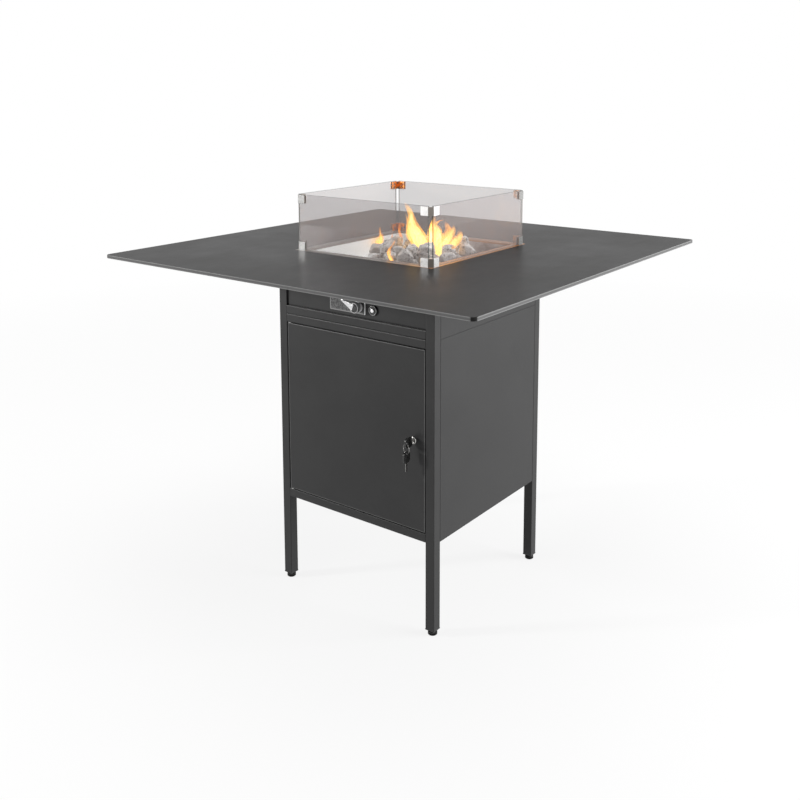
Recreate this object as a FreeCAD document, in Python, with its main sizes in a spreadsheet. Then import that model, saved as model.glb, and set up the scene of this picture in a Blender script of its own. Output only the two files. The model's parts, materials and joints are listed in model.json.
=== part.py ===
"""Bar-height fire pit table: a square slab on a steel cabinet, with a gas burner and a glass guard.

Frame: millimetres, +Z up, origin on the floor under the middle of the table, door towards -Y.
"""
import FreeCAD, Part
import math
import os
import random
import re
import Sketcher
from FreeCAD import Placement, Rotation, Vector

doc = FreeCAD.newDocument("fire_pit_table")

# Driving dimensions, in millimetres and degrees. Each has one cell of the sheet "Sizes".
SIZES = {
    # Whole table
    "table_height": 1050, "slab_side": 1300, "slab_thick": 10, "slab_corner": 16, "slab_arris": 1.2,
    "cutout_side": 456,
    # Cabinet frame of square tube
    "cabinet_side": 580, "tube_width": 30, "tube_wall": 1.5, "tube_round": 2,
    "rail_high": 26, "rail_deep": 25, "low_rail_under": 274.5, "box_high": 182, "slab_rail_high": 20,
    # Sheet steel panels
    "sheet_thick": 1.5, "panel_recess": 0.5, "panel_gap": 0.8, "fold_deep": 16,
    "vent_long": 80, "vent_wide": 8, "vent_pitch": 30, "hose_hole": 13,
    # Levelling feet and the caps that carry them
    "foot_rise": 17.5, "cap_flange": 3, "cap_plug": 20, "cap_clear": 0.2,
    "foot_radius": 13.5, "foot_pad": 8, "foot_neck": 8, "stem_radius": 4, "stem_long": 45,
    "foot_bevel": 1.5,
    # Door and its pivots
    "door_side_gap": 2.5, "door_top_gap": 2, "door_recess": 1, "door_deep": 18, "door_skin": 1.2,
    "door_round": 1.6, "pivot_inset": 6, "pivot_depth": 5, "pivot_radius": 2.5, "pivot_long": 12,
    "pivot_flange": 6, "pivot_flange_thick": 1.2, "bush_wall": 1.15, "bush_flange": 4.8,
    "bush_flange_thick": 0.5, "bush_long": 8, "stop_low": 42.5, "stop_high": 45, "stop_wide": 16,
    # Lock and keys
    "lock_inset": 39.5, "lock_drop": 1.25, "barrel_radius": 8, "barrel_long": 20.5, "bezel_radius": 10.5,
    "bezel_thick": 3, "plug_radius": 5.5, "plug_tail": 4, "cam_thick": 2.5, "cam_long": 38,
    "cam_wide": 15, "cam_head": 1.5, "nut_radius": 11, "nut_thick": 4,
    "key_thick": 1.8, "key_blade": 7, "key_depth": 22, "key_shoulder": 4, "keyway_clear": 0.3,
    "bow_wide": 28, "bow_long": 32, "bow_thick": 5, "bow_corner": 9, "bow_hole": 3.6,
    "bow_hole_edge": 6, "ring_radius": 13, "ring_wire": 0.8, "ring_play": 1, "ring_turn": 16,
    "spare_blade": 25,
    # Burner controls
    "fascia_recess": 6, "plate_wide": 133, "plate_high": 64, "plate_thick": 1.2, "plate_x": -22,
    "plate_rise": 70, "plate_corner": 3, "valve_x": 23, "valve_rise": 60, "valve_radius": 16,
    "valve_long": 50, "nose_radius": 8, "nose_proud": 3, "rotor_radius": 9, "rotor_start": 16,
    "rotor_long": 22, "rotor_bore": 13, "spindle_radius": 4, "spindle_grip": 10,
    "spindle_spare": 5, "spindle_flat": 2.6,
    "knob_radius": 16, "knob_long": 22, "knob_skirt": 6, "knob_skirt_bore": 12,
    "knob_travel": 4, "lever_reach": 56, "lever_root": 15, "lever_tip": 4, "lever_thick": 10,
    "lever_angle": 160,
    "igniter_x": 75, "igniter_rise": 56, "igniter_radius": 11, "igniter_long": 40,
    "igniter_neck": 9, "collar_radius": 15, "collar_thick": 6, "collar_bevel": 1.5,
    "button_radius": 6, "button_long": 18, "button_proud": 3.4, "button_travel": 3,
    # Gas path
    "inlet_set": 18, "boss_radius": 9, "boss_long": 20, "inlet_hex": 8, "inlet_hex_high": 10,
    "inlet_barb": 5, "inlet_barb_long": 22, "inlet_bore": 2.5,
    "pipe_radius": 4, "pipe_wall": 0.8, "pipe_offset": 10.5, "pipe_bend": 45,
    "injector_radius": 14, "injector_high": 24, "injector_rise": 72, "injector_inlet": 7,
    "injector_reach": 24, "nozzle_radius": 5, "nozzle_high": 8,
    # Burner tray, burner and stones
    "tray_side": 446, "tray_deep": 70, "tray_sheet": 1.2, "flange_side": 510, "tray_corner": 6,
    "burner_side": 220, "burner_tube": 9, "burner_wall": 1, "burner_rise": 24, "port_radius": 1.25,
    "mixer_radius": 13, "mixer_wall": 1, "air_hole": 5, "floor_clear": 0.3,
    "spark_x": 70, "spark_y": -96, "spark_radius": 3, "spark_high": 26, "spark_flange": 7,
    "stone_large": 36, "stone_small": 26, "stone_pitch": 59, "pile_x": 284, "pile_y": 310,
    "pile_middle_x": 44, "pile_middle_y": -42, "pile_rise": 36, "stone_seat": 0.3,
    # Glass guard
    "guard_side": 505, "guard_high": 170, "glass_thick": 5, "clip_wall": 2, "clip_grip": 0.3,
    "clip_reach": 37, "clip_high": 25, "clip_bevel": 12, "clip_floor": 2, "glass_inset": 12,
    "clip_drop": 2, "grub_radius": 2,
    # Fasteners and fits
    "bolt_radius": 3, "bolt_head": 5.5, "bolt_head_high": 3.5, "bolt_clear": 0.2, "bolt_bite": 7,
    "bolt_spread": 180, "run_fit": 0.05, "rest_gap": 0.3,
}

# Places worked out from the sizes. Each has one cell of the sheet "Places".
PLACES = {
    "half": "cabinet_side / 2",
    "post_in": "cabinet_side / 2 - tube_width",
    "post_mid": "cabinet_side / 2 - tube_width / 2",
    "opening": "cabinet_side - 2 * tube_width",
    "slab_under": "table_height - slab_thick",
    "frame_top": "table_height - slab_thick - box_high",
    "low_rail_top": "low_rail_under + rail_high",
    "box_rail_top": "frame_top + rail_high",
    "slab_rail_under": "slab_under - slab_rail_high",
    "panel_face": "half - panel_recess",
    "panel_back": "half - panel_recess - sheet_thick",
    "rail_in": "panel_back - rail_deep",
    "front_rail_in": "half - rail_deep",
    "door_wide": "opening - 2 * door_side_gap",
    "door_low": "low_rail_top + door_top_gap",
    "door_high": "frame_top - rail_high - 2 * door_top_gap - low_rail_top",
    "door_front": "half - door_recess",
    "stop_long": "door_high - stop_low - stop_high",
    "lock_x": "door_wide / 2 - lock_inset",
    "lock_z": "door_low + door_high / 2 - lock_drop",
    "pivot_x": "0 - door_wide / 2 + pivot_inset",
    "pivot_y": "pivot_depth - door_front",
    "cam_face": "door_front - door_skin - barrel_long",
    "bow_front": "door_front + bezel_thick + key_shoulder",
    "ring_y": "0 - bow_front - bow_long + bow_hole_edge",
    "ring_z": "lock_z - bow_hole + ring_wire + ring_play - ring_radius",
    "spare_z": "ring_z - ring_radius - bow_hole + ring_wire + ring_play",
    "fascia_front": "half - fascia_recess",
    "fascia_back": "fascia_front - sheet_thick",
    "plate_front": "fascia_front + plate_thick",
    "plate_z": "frame_top + plate_rise",
    "valve_z": "frame_top + valve_rise",
    "igniter_z": "frame_top + igniter_rise",
    "injector_top": "frame_top + injector_rise",
    "valve_rear": "fascia_back - valve_long",
    "knob_rear": "plate_front + knob_travel + 0.5",
    "inlet_y": "valve_rear + inlet_set",
    "inlet_top": "valve_z - boss_long",
    "tray_floor": "table_height - tray_deep",
    "tray_under": "tray_floor - tray_sheet",
    "burner_z": "tray_floor + burner_rise",
    "guard_low": "table_height + rest_gap",
    "guard_half": "guard_side / 2",
    "guard_depth": "2 * clip_wall + glass_thick + clip_grip",
    "glass_half": "guard_half - clip_wall",
    "glass_long": "guard_side - 2 * glass_inset",
}


def fill_sheets():
    """Put the driving sizes and the places that follow from them in two sheets."""
    sizes = doc.addObject("Spreadsheet::Sheet", "Sizes")
    for row, (name, number) in enumerate(SIZES.items(), 1):
        sizes.set(f"A{row}", name)
        sizes.set(f"B{row}", str(number))
        sizes.setAlias(f"B{row}", name)
    places = doc.addObject("Spreadsheet::Sheet", "Places")
    for row, (name, text) in enumerate(PLACES.items(), 1):
        places.set(f"A{row}", name)
        places.set(f"B{row}", "=" + cells(text, inside="Places."))
        places.setAlias(f"B{row}", name)
    doc.recompute()
    return sizes, places


def cells(text, inside=""):
    """Spell the names in a formula as cells of the two sheets."""
    def cell(match):
        name = match.group(0)
        if name in SIZES:
            return "Sizes." + name
        if name in PLACES:
            return name if inside else "Places." + name
        return name
    return re.sub(r"[a-z]\w*", cell, text)


sizes_sheet, places_sheet = fill_sheets()


def get(name):
    """The number that a size or a place has in its sheet."""
    return float((sizes_sheet if name in SIZES else places_sheet).get(name))


# Local +Z turned along each direction of the table
TURNS = {
    "up": Rotation(),
    "down": Rotation(Vector(1, 0, 0), 180),
    "right": Rotation(Vector(0, 1, 0), 90),
    "back": Rotation(Vector(1, 0, 0), -90),
    "front": Rotation(Vector(1, 0, 0), 90),
}
PARTS = []


def bind(item, prop, text):
    item.setExpression(prop, cells(text))


def seat(item, at, turn=Rotation()):
    """Give an object its rotation, and a position that follows the sheets."""
    item.Placement = Placement(Vector(), turn)
    for axis, text in zip("xyz", at):
        bind(item, f"Placement.Base.{axis}", text)
    return item


def part(item, name):
    """Mark a finished object as a sub-part and give it its name."""
    item.Label = name
    PARTS.append(item)
    return item


def block(name, size, at=("0", "0", "0"), centred=""):
    """A box; the letters in centred name the axes on which at is its middle."""
    item = doc.addObject("Part::Box", name)
    place = []
    for axis, prop, length, start in zip("xyz", ("Length", "Width", "Height"), size, at):
        bind(item, prop, length)
        place.append(f"{start} - ({length}) / 2" if axis in centred else start)
    return seat(item, place)


def rod(name, radius, length, at=("0", "0", "0"), along="up"):
    item = doc.addObject("Part::Cylinder", name)
    bind(item, "Radius", radius)
    bind(item, "Height", length)
    return seat(item, at, TURNS[along])


def join(name, items):
    item = doc.addObject("Part::MultiFuse", name)
    item.Shapes = items
    item.Refine = True
    return item


def cut(name, base, tools):
    """Take one or more tools away from a base."""
    item = doc.addObject("Part::Cut", name)
    item.Base = base
    item.Tool = tools[0] if len(tools) == 1 else join(name + "_tools", tools)
    return item


def group(name, items):
    """Like pieces that stay separate solids in one node."""
    item = doc.addObject("Part::Compound", name)
    item.Links = items
    return item


def turned(name, stages, at=("0", "0", "0"), along="up"):
    """A lathe-turned piece: stages of (first radius, last radius, length) in a row."""
    pieces = []
    start = "0"
    for number, (first, last, length) in enumerate(stages):
        if first == last:
            piece = rod(f"{name}_s{number}", first, length, ("0", "0", start))
        else:
            piece = doc.addObject("Part::Cone", f"{name}_s{number}")
            bind(piece, "Radius1", first)
            bind(piece, "Radius2", last)
            bind(piece, "Height", length)
            seat(piece, ("0", "0", start))
        pieces.append(piece)
        start = f"{start} + {length}"
    item = pieces[0] if len(pieces) == 1 else join(name, pieces)
    return seat(item, at, TURNS[along])


def edges_where(shape, test):
    """Names of the edges whose two ends pass a test."""
    names = []
    for number, edge in enumerate(shape.Edges, 1):
        if all(test(vertex.Point) for vertex in edge.Vertexes) and len(edge.Vertexes) == 2:
            names.append(f"Edge{number}")
    return names


def upright_edges(shape):
    """Names of the straight edges along local Z."""
    names = []
    for number, edge in enumerate(shape.Edges, 1):
        box = edge.BoundBox
        if box.ZLength > 0.1 and box.XLength < 0.01 and box.YLength < 0.01:
            names.append(f"Edge{number}")
    return names


def rectangle(body, name, role, width, height, at=("0", "0", "0")):
    """A sketch of a centred rectangle on one of the body's own planes."""
    sketch = body.newObject("Sketcher::SketchObject", name)
    plane = [item for item in body.Origin.OriginFeatures if item.Role == role][0]
    sketch.AttachmentSupport = [(plane, "")]
    sketch.MapMode = "FlatFace"
    corners = [Vector(-1, -1, 0), Vector(1, -1, 0), Vector(1, 1, 0), Vector(-1, 1, 0)]
    for start, end in zip(corners, corners[1:] + corners[:1]):
        sketch.addGeometry(Part.LineSegment(start, end), False)
    for side in range(4):
        sketch.addConstraint(Sketcher.Constraint("Coincident", side, 2, (side + 1) % 4, 1))
        sketch.addConstraint(Sketcher.Constraint("Horizontal" if side % 2 == 0 else "Vertical", side))
    sketch.addConstraint(Sketcher.Constraint("Symmetric", 0, 1, 2, 1, -1, 1))
    for side, label, text in ((0, "width", width), (1, "height", height)):
        kind = "DistanceX" if side == 0 else "DistanceY"
        index = sketch.addConstraint(Sketcher.Constraint(kind, side, 1, side, 2, 2.0))
        sketch.renameConstraint(index, label)
        bind(sketch, f"Constraints.{label}", text)
    for axis, text in zip("xyz", at):
        bind(sketch, f"AttachmentOffset.Base.{axis}", text)
    return sketch


def pad(body, name, sketch, length, back=False):
    item = body.newObject("PartDesign::Pad", name)
    item.Profile = sketch
    item.Reversed = back
    bind(item, "Length", length)
    return item


def pocket(body, name, sketch, depth="", back=False):
    """A cut from a sketch; with no depth it goes through all."""
    item = body.newObject("PartDesign::Pocket", name)
    item.Profile = sketch
    item.Reversed = back
    if depth:
        bind(item, "Length", depth)
    else:
        item.Type = "ThroughAll"
    return item


def fillet(body, name, base, radius, choose):
    """Round the edges of a feature that choose picks from its shape."""
    doc.recompute()
    item = body.newObject("PartDesign::Fillet", name)
    item.Base = (base, choose(base.Shape))
    bind(item, "Radius", radius)
    return item


def tube(name, width, depth, length, at, along="up"):
    """A length of rectangular tube with rounded long edges, its start centred on at."""
    body = doc.addObject("PartDesign::Body", name)
    bar = pad(body, name + "_bar", rectangle(body, name + "_outline", "XY_Plane", width, depth), length)
    fillet(body, name + "_round", bar, "tube_round", upright_edges)
    bore = rectangle(body, name + "_bore_outline", "XY_Plane",
                     f"{width} - 2 * tube_wall", f"{depth} - 2 * tube_wall")
    pocket(body, name + "_bore", bore, back=True)
    return seat(body, at, TURNS[along])


def rounded_block(name, size, at, radius, centred=""):
    """A box with its four upright edges rounded."""
    item = doc.addObject("Part::Fillet", name)
    item.Base = block(name + "_box", size, at, centred)
    item.Edges = [(number, get(radius), get(radius)) for number in (1, 3, 5, 7)]
    return item


def copies(name, source, places):
    """Copies of one finished object, each a separate solid at its own place."""
    doc.recompute()
    item = doc.addObject("Part::Feature", name)
    item.Shape = Part.Compound([source.Shape.transformed(place.toMatrix()) for place in places])
    item.Placement = Placement()
    return item


CORNERS = {
    "front_left": (-1, -1), "front_right": (1, -1), "rear_left": (-1, 1), "rear_right": (1, 1),
}


def signed(sign, text):
    return text if sign > 0 else f"0 - ({text})"


def make_tabletop():
    """The compact slab with its cut-out, a rebate for the tray's flange and blind holes for the screws."""
    body = doc.addObject("PartDesign::Body", "slab")
    outline = rectangle(body, "slab_outline", "XY_Plane", "slab_side", "slab_side")
    plate = pad(body, "slab_plate", outline, "slab_thick")
    corners = fillet(body, "slab_corners", plate, "slab_corner", upright_edges)
    arris = fillet(body, "slab_edges", corners, "slab_arris", rim_edges)
    body.Tip = arris
    pocket(body, "slab_cutout", rectangle(body, "cutout_outline", "XY_Plane", "cutout_side", "cutout_side"),
           back=True)
    rebate = rectangle(body, "rebate_outline", "XY_Plane", "flange_side + 2 * rest_gap",
                       "flange_side + 2 * rest_gap", ("0", "0", "slab_thick - tray_sheet"))
    pocket(body, "slab_rebate", rebate, back=True)
    seat(body, ("0", "0", "slab_under"))
    part(cut("tabletop", body, slab_bolt_holes("slab", "bolt_radius", "bolt_bite")), "tabletop")


def rim_edges(shape):
    """The edges that lie in the top or the bottom face of a plate."""
    names = []
    for number, edge in enumerate(shape.Edges, 1):
        if edge.BoundBox.ZLength < 0.01:
            names.append(f"Edge{number}")
    return names


def slab_bolt_places():
    """The middle of each fixing screw of the slab, on the rails under it."""
    side = "rail_in + rail_deep / 2"
    front = "bolt_head + sheet_thick + rest_gap - fascia_back"
    places = []
    for along in ("bolt_spread", "0 - bolt_spread"):
        places += [(along, front), (along, side), (side, along), (f"0 - ({side})", along)]
    return places


def slab_bolt_holes(name, radius, length, start="slab_under"):
    return [rod(f"{name}_hole_{number}", radius, length, (x, y, start))
            for number, (x, y) in enumerate(slab_bolt_places())]


def make_legs():
    """Four legs of square tube, each with a plastic cap and a levelling foot at its lower end."""
    caps = []
    for corner, (sx, sy) in CORNERS.items():
        x, y = signed(sx, "post_mid"), signed(sy, "post_mid")
        part(tube(f"leg_{corner}", "tube_width", "tube_width", "frame_top - foot_rise", (x, y, "foot_rise")),
             f"leg_{corner}")
        flange = block(f"cap_flange_{corner}", ("tube_width", "tube_width", "cap_flange"),
                       (x, y, "foot_rise - cap_flange"), "xy")
        inner = "tube_width - 2 * tube_wall - 2 * cap_clear"
        plug = block(f"cap_plug_{corner}", (inner, inner, "cap_plug"), (x, y, "foot_rise"), "xy")
        bore = rod(f"cap_bore_{corner}", "stem_radius + run_fit", "cap_flange + cap_plug",
                   (x, y, "foot_rise - cap_flange"))
        caps.append(cut(f"cap_{corner}", join(f"cap_solid_{corner}", [flange, plug]), [bore]))
        neck = "foot_rise - cap_flange - foot_bevel - foot_pad - rest_gap"
        foot = turned(f"foot_{corner}", [
            ("foot_radius - foot_bevel", "foot_radius", "foot_bevel"),
            ("foot_radius", "foot_radius", "foot_pad - foot_bevel"),
            ("foot_radius", "foot_radius - foot_bevel", "foot_bevel"),
            ("foot_neck", "foot_neck", neck),
            ("stem_radius", "stem_radius", f"stem_long - foot_bevel - foot_pad - ({neck})"),
        ], (x, y, "0"))
        part(foot, f"foot_{corner}")
    part(group("leg_caps", caps), "leg_caps")


def rail_ring(name, high, under):
    """Four rails between the posts at one height: the front one flush, the others behind the panels."""
    front = tube(f"{name}_front", high, "rail_deep", "opening",
                 ("0 - opening / 2", "rail_deep / 2 - half", f"{under} + {high} / 2"), "right")
    rear = tube(f"{name}_rear", high, "rail_deep", "opening",
                ("0 - opening / 2", "rail_in + rail_deep / 2", f"{under} + {high} / 2"), "right")
    sides = [tube(f"{name}_{side}", "rail_deep", high, "opening",
                  (signed(sx, "rail_in + rail_deep / 2"), "0 - opening / 2", f"{under} + {high} / 2"), "back")
             for side, sx in (("left", -1), ("right", 1))]
    return [front, rear] + sides


def joint_bolt_places():
    """The bolts that tie the burner box to the frame, two in each side rail."""
    side = "rail_in + rail_deep / 2"
    return [(signed(sx, side), along) for sx in (-1, 1) for along in ("bolt_spread", "0 - bolt_spread")]


def joint_holes(name, start, length):
    return [rod(f"{name}_hole_{number}", "bolt_radius + bolt_clear", length, (x, y, start))
            for number, (x, y) in enumerate(joint_bolt_places())]


def make_cabinet_frame():
    """The rails that tie the legs together below and above the door."""
    part(group("bottom_rails", rail_ring("bottom_rail", "rail_high", "low_rail_under")), "bottom_rails")
    top = group("top_rail_ring", rail_ring("top_rail", "rail_high", "(frame_top - rail_high)"))
    part(cut("top_rails", top, joint_holes("top_rail", "frame_top - rail_high", "rail_high")), "top_rails")


def make_burner_box_frame():
    """The low frame that stands on the cabinet and carries the slab."""
    posts = [tube(f"box_post_{corner}", "tube_width", "tube_width", "box_high",
                  (signed(sx, "post_mid"), signed(sy, "post_mid"), "frame_top"))
             for corner, (sx, sy) in CORNERS.items()]
    part(group("box_posts", posts), "box_posts")
    low = group("box_rail_ring", rail_ring("box_rail", "rail_high", "frame_top"))
    part(cut("box_bottom_rails", low, joint_holes("box_rail", "frame_top", "rail_high")), "box_bottom_rails")
    high = group("slab_rail_ring", rail_ring("slab_rail", "slab_rail_high", "slab_rail_under"))
    holes = slab_bolt_holes("slab_rail", "bolt_radius + bolt_clear", "slab_rail_high", "slab_rail_under")
    part(cut("box_top_rails", high, holes), "box_top_rails")


def make_bolts():
    """Two sets of screws: the slab to its rails, and the burner box to the cabinet."""
    head = [("bolt_head - 1", "bolt_head", "1"), ("bolt_head", "bolt_head", "bolt_head_high - 1")]
    shank = ("bolt_radius", "bolt_radius", "slab_rail_high + bolt_bite - 0.5")
    screws = [turned(f"slab_screw_{number}", head + [shank], (x, y, "slab_rail_under - bolt_head_high"))
              for number, (x, y) in enumerate(slab_bolt_places())]
    part(group("tabletop_screws", screws), "tabletop_screws")
    shank = ("bolt_radius", "bolt_radius", "2 * rail_high")
    nut = ("bolt_head", "bolt_head", "bolt_head_high")
    bolts = [turned(f"joint_bolt_{number}", head + [shank, nut],
                    (x, y, "frame_top - rail_high - bolt_head_high"))
             for number, (x, y) in enumerate(joint_bolt_places())]
    part(group("box_bolts", bolts), "box_bolts")


def make_panels():
    """Flat sheet steel skins between the posts of the cabinet and of the burner box."""
    wide = "opening - 2 * panel_gap"
    low, low_high = "low_rail_under", "frame_top - low_rail_under - panel_gap / 2"
    top, top_high = "frame_top + panel_gap / 2", "box_high - panel_gap"
    for label, under, high in (("side_panel", low, low_high), ("box_panel", top, top_high)):
        for side, x in (("left", "0 - panel_face"), ("right", "panel_back")):
            part(block(f"{label}_{side}", ("sheet_thick", wide, high), (x, "0", under), "y"),
                 f"{label}_{side}")
    part(block("back_panel", (wide, "sheet_thick", low_high), ("0", "panel_back", low), "x"), "back_panel")
    rear = block("box_panel_plain", (wide, "sheet_thick", top_high), ("0", "panel_back", top), "x")
    slots = [block(f"rear_slot_{step}", ("vent_long", "sheet_thick * 3", "vent_wide"),
                   (f"{step - 1} * vent_long * 1.5", "panel_back - sheet_thick",
                    "valve_z + vent_pitch * 2"), "x")
             for step in range(3)]
    part(cut("box_panel_rear", rear, slots), "box_panel_rear")


def folded_tray(name, top):
    """A sheet with its edges folded down inside a ring of rails, its top at the rails' top."""
    wide, deep = "2 * rail_in", "rail_in + front_rail_in"
    middle = "(rail_in - front_rail_in) / 2"
    outer = block(name + "_outer", (wide, deep, "fold_deep"), ("0", middle, f"{top} - fold_deep"), "xy")
    inner = block(name + "_inner", (f"{wide} - 2 * sheet_thick", f"{deep} - 2 * sheet_thick", "fold_deep"),
                  ("0", middle, f"{top} - fold_deep - sheet_thick"), "xy")
    notch = "tube_width + 2 * rest_gap"
    notches = [block(f"{name}_notch_{corner}", (notch, notch, "fold_deep * 3"),
                     (signed(sx, "post_mid"), signed(sy, "post_mid"), f"{top} - 2 * fold_deep"), "xy")
               for corner, (sx, sy) in CORNERS.items()]
    return outer, [inner] + notches


def make_floors():
    """The bottle shelf of the cabinet, and the heat shield that closes the burner box below."""
    outer, inside = folded_tray("shelf", "low_rail_top")
    slots = [block(f"shelf_slot_{row}_{column}", ("vent_long", "vent_wide", "sheet_thick * 3"),
                   (f"{column} * vent_long * 1.6", f"{row} * vent_pitch",
                    "low_rail_top - sheet_thick * 2"), "xy")
             for row in (-2, 0, 2) for column in (-1, 0, 1)]
    part(cut("cabinet_floor", outer, inside + slots), "cabinet_floor")
    outer, inside = folded_tray("shield", "box_rail_top")
    hose = rod("hose_hole_cut", "hose_hole", "sheet_thick * 3",
               ("valve_x", "0 - inlet_y", "box_rail_top - sheet_thick * 2"))
    part(cut("heat_shield", outer, inside + [hose]), "heat_shield")


def make_door():
    """A folded steel door, open at its back, with a hole for the lock and two for the pivots."""
    body = doc.addObject("PartDesign::Body", "door_body")
    outline = rectangle(body, "door_outline", "XZ_Plane", "door_wide", "door_high")
    plate = pad(body, "door_plate", outline, "door_deep", back=True)
    round_off = fillet(body, "door_edges", plate, "door_round",
                       lambda shape: edges_where(shape, lambda point: point.y < 0.01))
    body.Tip = round_off
    inside = rectangle(body, "door_inside", "XZ_Plane", "door_wide - 2 * door_skin",
                       "door_high - 2 * door_skin", ("0", "0", "0 - door_skin"))
    pocket(body, "door_hollow", inside)
    seat(body, ("0", "0 - door_front", "door_low + door_high / 2"))
    lock_hole = rod("door_lock_hole", "barrel_radius", "door_skin * 3",
                    ("lock_x", "door_skin * 2 - door_front", "lock_z"), "front")
    pivots = rod("door_pivot_holes", "pivot_radius + run_fit + bush_wall", "door_high + 2",
                 ("pivot_x", "pivot_y", "door_low - 1"))
    part(cut("door_panel", body, [lock_hole, pivots]), "door_panel")


def make_pivots():
    """A flanged pin on each rail, and the flanged bush of the door that turns on it."""
    pins, bushes = [], []
    sleeve = "pivot_radius + run_fit + bush_wall"
    for end, along in (("low", "up"), ("high", "down")):
        rail = "low_rail_top" if end == "low" else "frame_top - rail_high"
        pins.append(turned(f"pivot_pin_{end}", [
            ("pivot_flange", "pivot_flange", "pivot_flange_thick"),
            ("pivot_radius", "pivot_radius", "pivot_long"),
        ], ("pivot_x", "pivot_y", rail), along))
        edge = "door_low" if end == "low" else "door_low + door_high"
        start = f"{edge} - bush_flange_thick" if end == "low" else f"{edge} + bush_flange_thick"
        outer = turned(f"pivot_bush_{end}_outer", [
            ("bush_flange", "bush_flange", "bush_flange_thick"),
            (sleeve, sleeve, "bush_long"),
        ], ("pivot_x", "pivot_y", start), along)
        bore = rod(f"pivot_bush_{end}_bore", "pivot_radius + run_fit", "bush_flange_thick + bush_long + 2",
                   ("pivot_x", "pivot_y", f"{start} - 1" if end == "low" else f"{start} + 1"), along)
        bushes.append(cut(f"pivot_bush_{end}", outer, [bore]))
    part(group("hinge_pins", pins), "hinge_pins")
    part(group("hinge_bushes", bushes), "hinge_bushes")


def make_door_stop():
    """Two welded strips on the right front leg: the door closes on one and the cam turns behind it."""
    face = "door_deep + rest_gap - door_front"
    across = block("stop_face", ("stop_wide", "sheet_thick", "stop_long"),
                   ("post_in - stop_wide", face, "door_low + stop_low"))
    along = block("stop_side", ("sheet_thick", f"0 - post_in - sheet_thick - ({face})", "stop_long"),
                  ("post_in - sheet_thick", f"{face} + sheet_thick", "door_low + stop_low"))
    part(group("door_stop", [across, along]), "door_stop")


def make_lock():
    """A cam lock: barrel and nut in the door, plug and cam that turn, both on the lock's axis."""
    rear = ("lock_x", "0 - cam_face", "lock_z")
    barrel = turned("barrel_solid", [
        ("barrel_radius", "barrel_radius", "barrel_long + door_skin"),
        ("bezel_radius", "bezel_radius", "bezel_thick - 1"),
        ("bezel_radius", "bezel_radius - 1", "1"),
    ], rear, "front")
    bore = rod("barrel_bore", "plug_radius + run_fit", "barrel_long + door_skin + bezel_thick", rear, "front")
    part(cut("lock_barrel", barrel, [bore]), "lock_barrel")
    nut_rear = ("lock_x", "0 - door_front + door_skin + nut_thick", "lock_z")
    hexagon = doc.addObject("Part::Prism", "lock_nut_solid")
    hexagon.Polygon = 6
    bind(hexagon, "Circumradius", "nut_radius")
    bind(hexagon, "Height", "nut_thick")
    seat(hexagon, nut_rear, TURNS["front"])
    nut_bore = rod("lock_nut_bore", "barrel_radius", "nut_thick", nut_rear, "front")
    part(cut("lock_nut", hexagon, [nut_bore]), "lock_nut")
    tail = "cam_head + cam_thick + rest_gap"
    plug = turned("plug_solid", [
        ("plug_radius", "plug_radius", "cam_head"),
        ("plug_tail", "plug_tail", "cam_thick"),
        ("plug_radius", "plug_radius", "barrel_long + door_skin + bezel_thick"),
    ], ("lock_x", f"0 - cam_face + {tail}", "lock_z"), "front")
    keyway = block("plug_keyway", ("key_thick + 2 * keyway_clear", "key_depth + 1",
                                   "key_blade + 2 * keyway_clear"),
                   ("lock_x", "0 - door_front - bezel_thick - 0.5", "lock_z"), "xz")
    part(cut("lock_plug", plug, [keyway]), "lock_plug")
    cam_rear = ("lock_x", "0 - cam_face + rest_gap + cam_thick", "lock_z")
    hub = rod("cam_hub", "cam_wide / 2", "cam_thick", cam_rear, "front")
    arm = block("cam_arm", ("cam_wide", "cam_thick", "cam_long - cam_wide / 2"),
                ("lock_x", "0 - cam_face + rest_gap", "lock_z - cam_long + cam_wide / 2"), "x")
    tip = rod("cam_tip", "cam_wide / 2", "cam_thick",
              ("lock_x", "0 - cam_face + rest_gap + cam_thick", "lock_z - cam_long + cam_wide / 2"), "front")
    hole = rod("cam_hole", "plug_tail", "cam_thick", cam_rear, "front")
    part(cut("lock_cam", join("cam_solid", [hub, arm, tip]), [hole]), "lock_cam")


def key_bow(name, along_y, along_z, at, hole_level):
    """A moulded bow: a flat rounded plate with a round hole for the ring."""
    size = (along_y, along_z, "bow_thick")
    plate = rounded_block(name + "_plate", size, ("0", "0", "0"), "bow_corner", "xyz")
    seat(plate, at, Rotation(Vector(1, 1, 1), 120))
    hole = rod(name + "_hole", "bow_hole", "bow_thick + 2",
               ("lock_x - bow_thick / 2 - 1", "ring_y", hole_level), "right")
    return cut(name, plate, [hole])


def key_blade(name, long_text, at, turn):
    """A flat blade with a shoulder and three notches in one edge."""
    blade = block(name + "_blank", ("key_thick", "key_blade", long_text), ("0", "0", "0"), "xy")
    notches = [block(f"{name}_notch_{step}", ("key_thick * 2", "key_blade / 4", "key_blade / 3"),
                     ("0", "key_blade / 2", f"{long_text} - {step + 1} * key_blade * 0.8"), "xyz")
               for step in range(3)]
    return seat(cut(name, blade, notches), at, turn)


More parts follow.
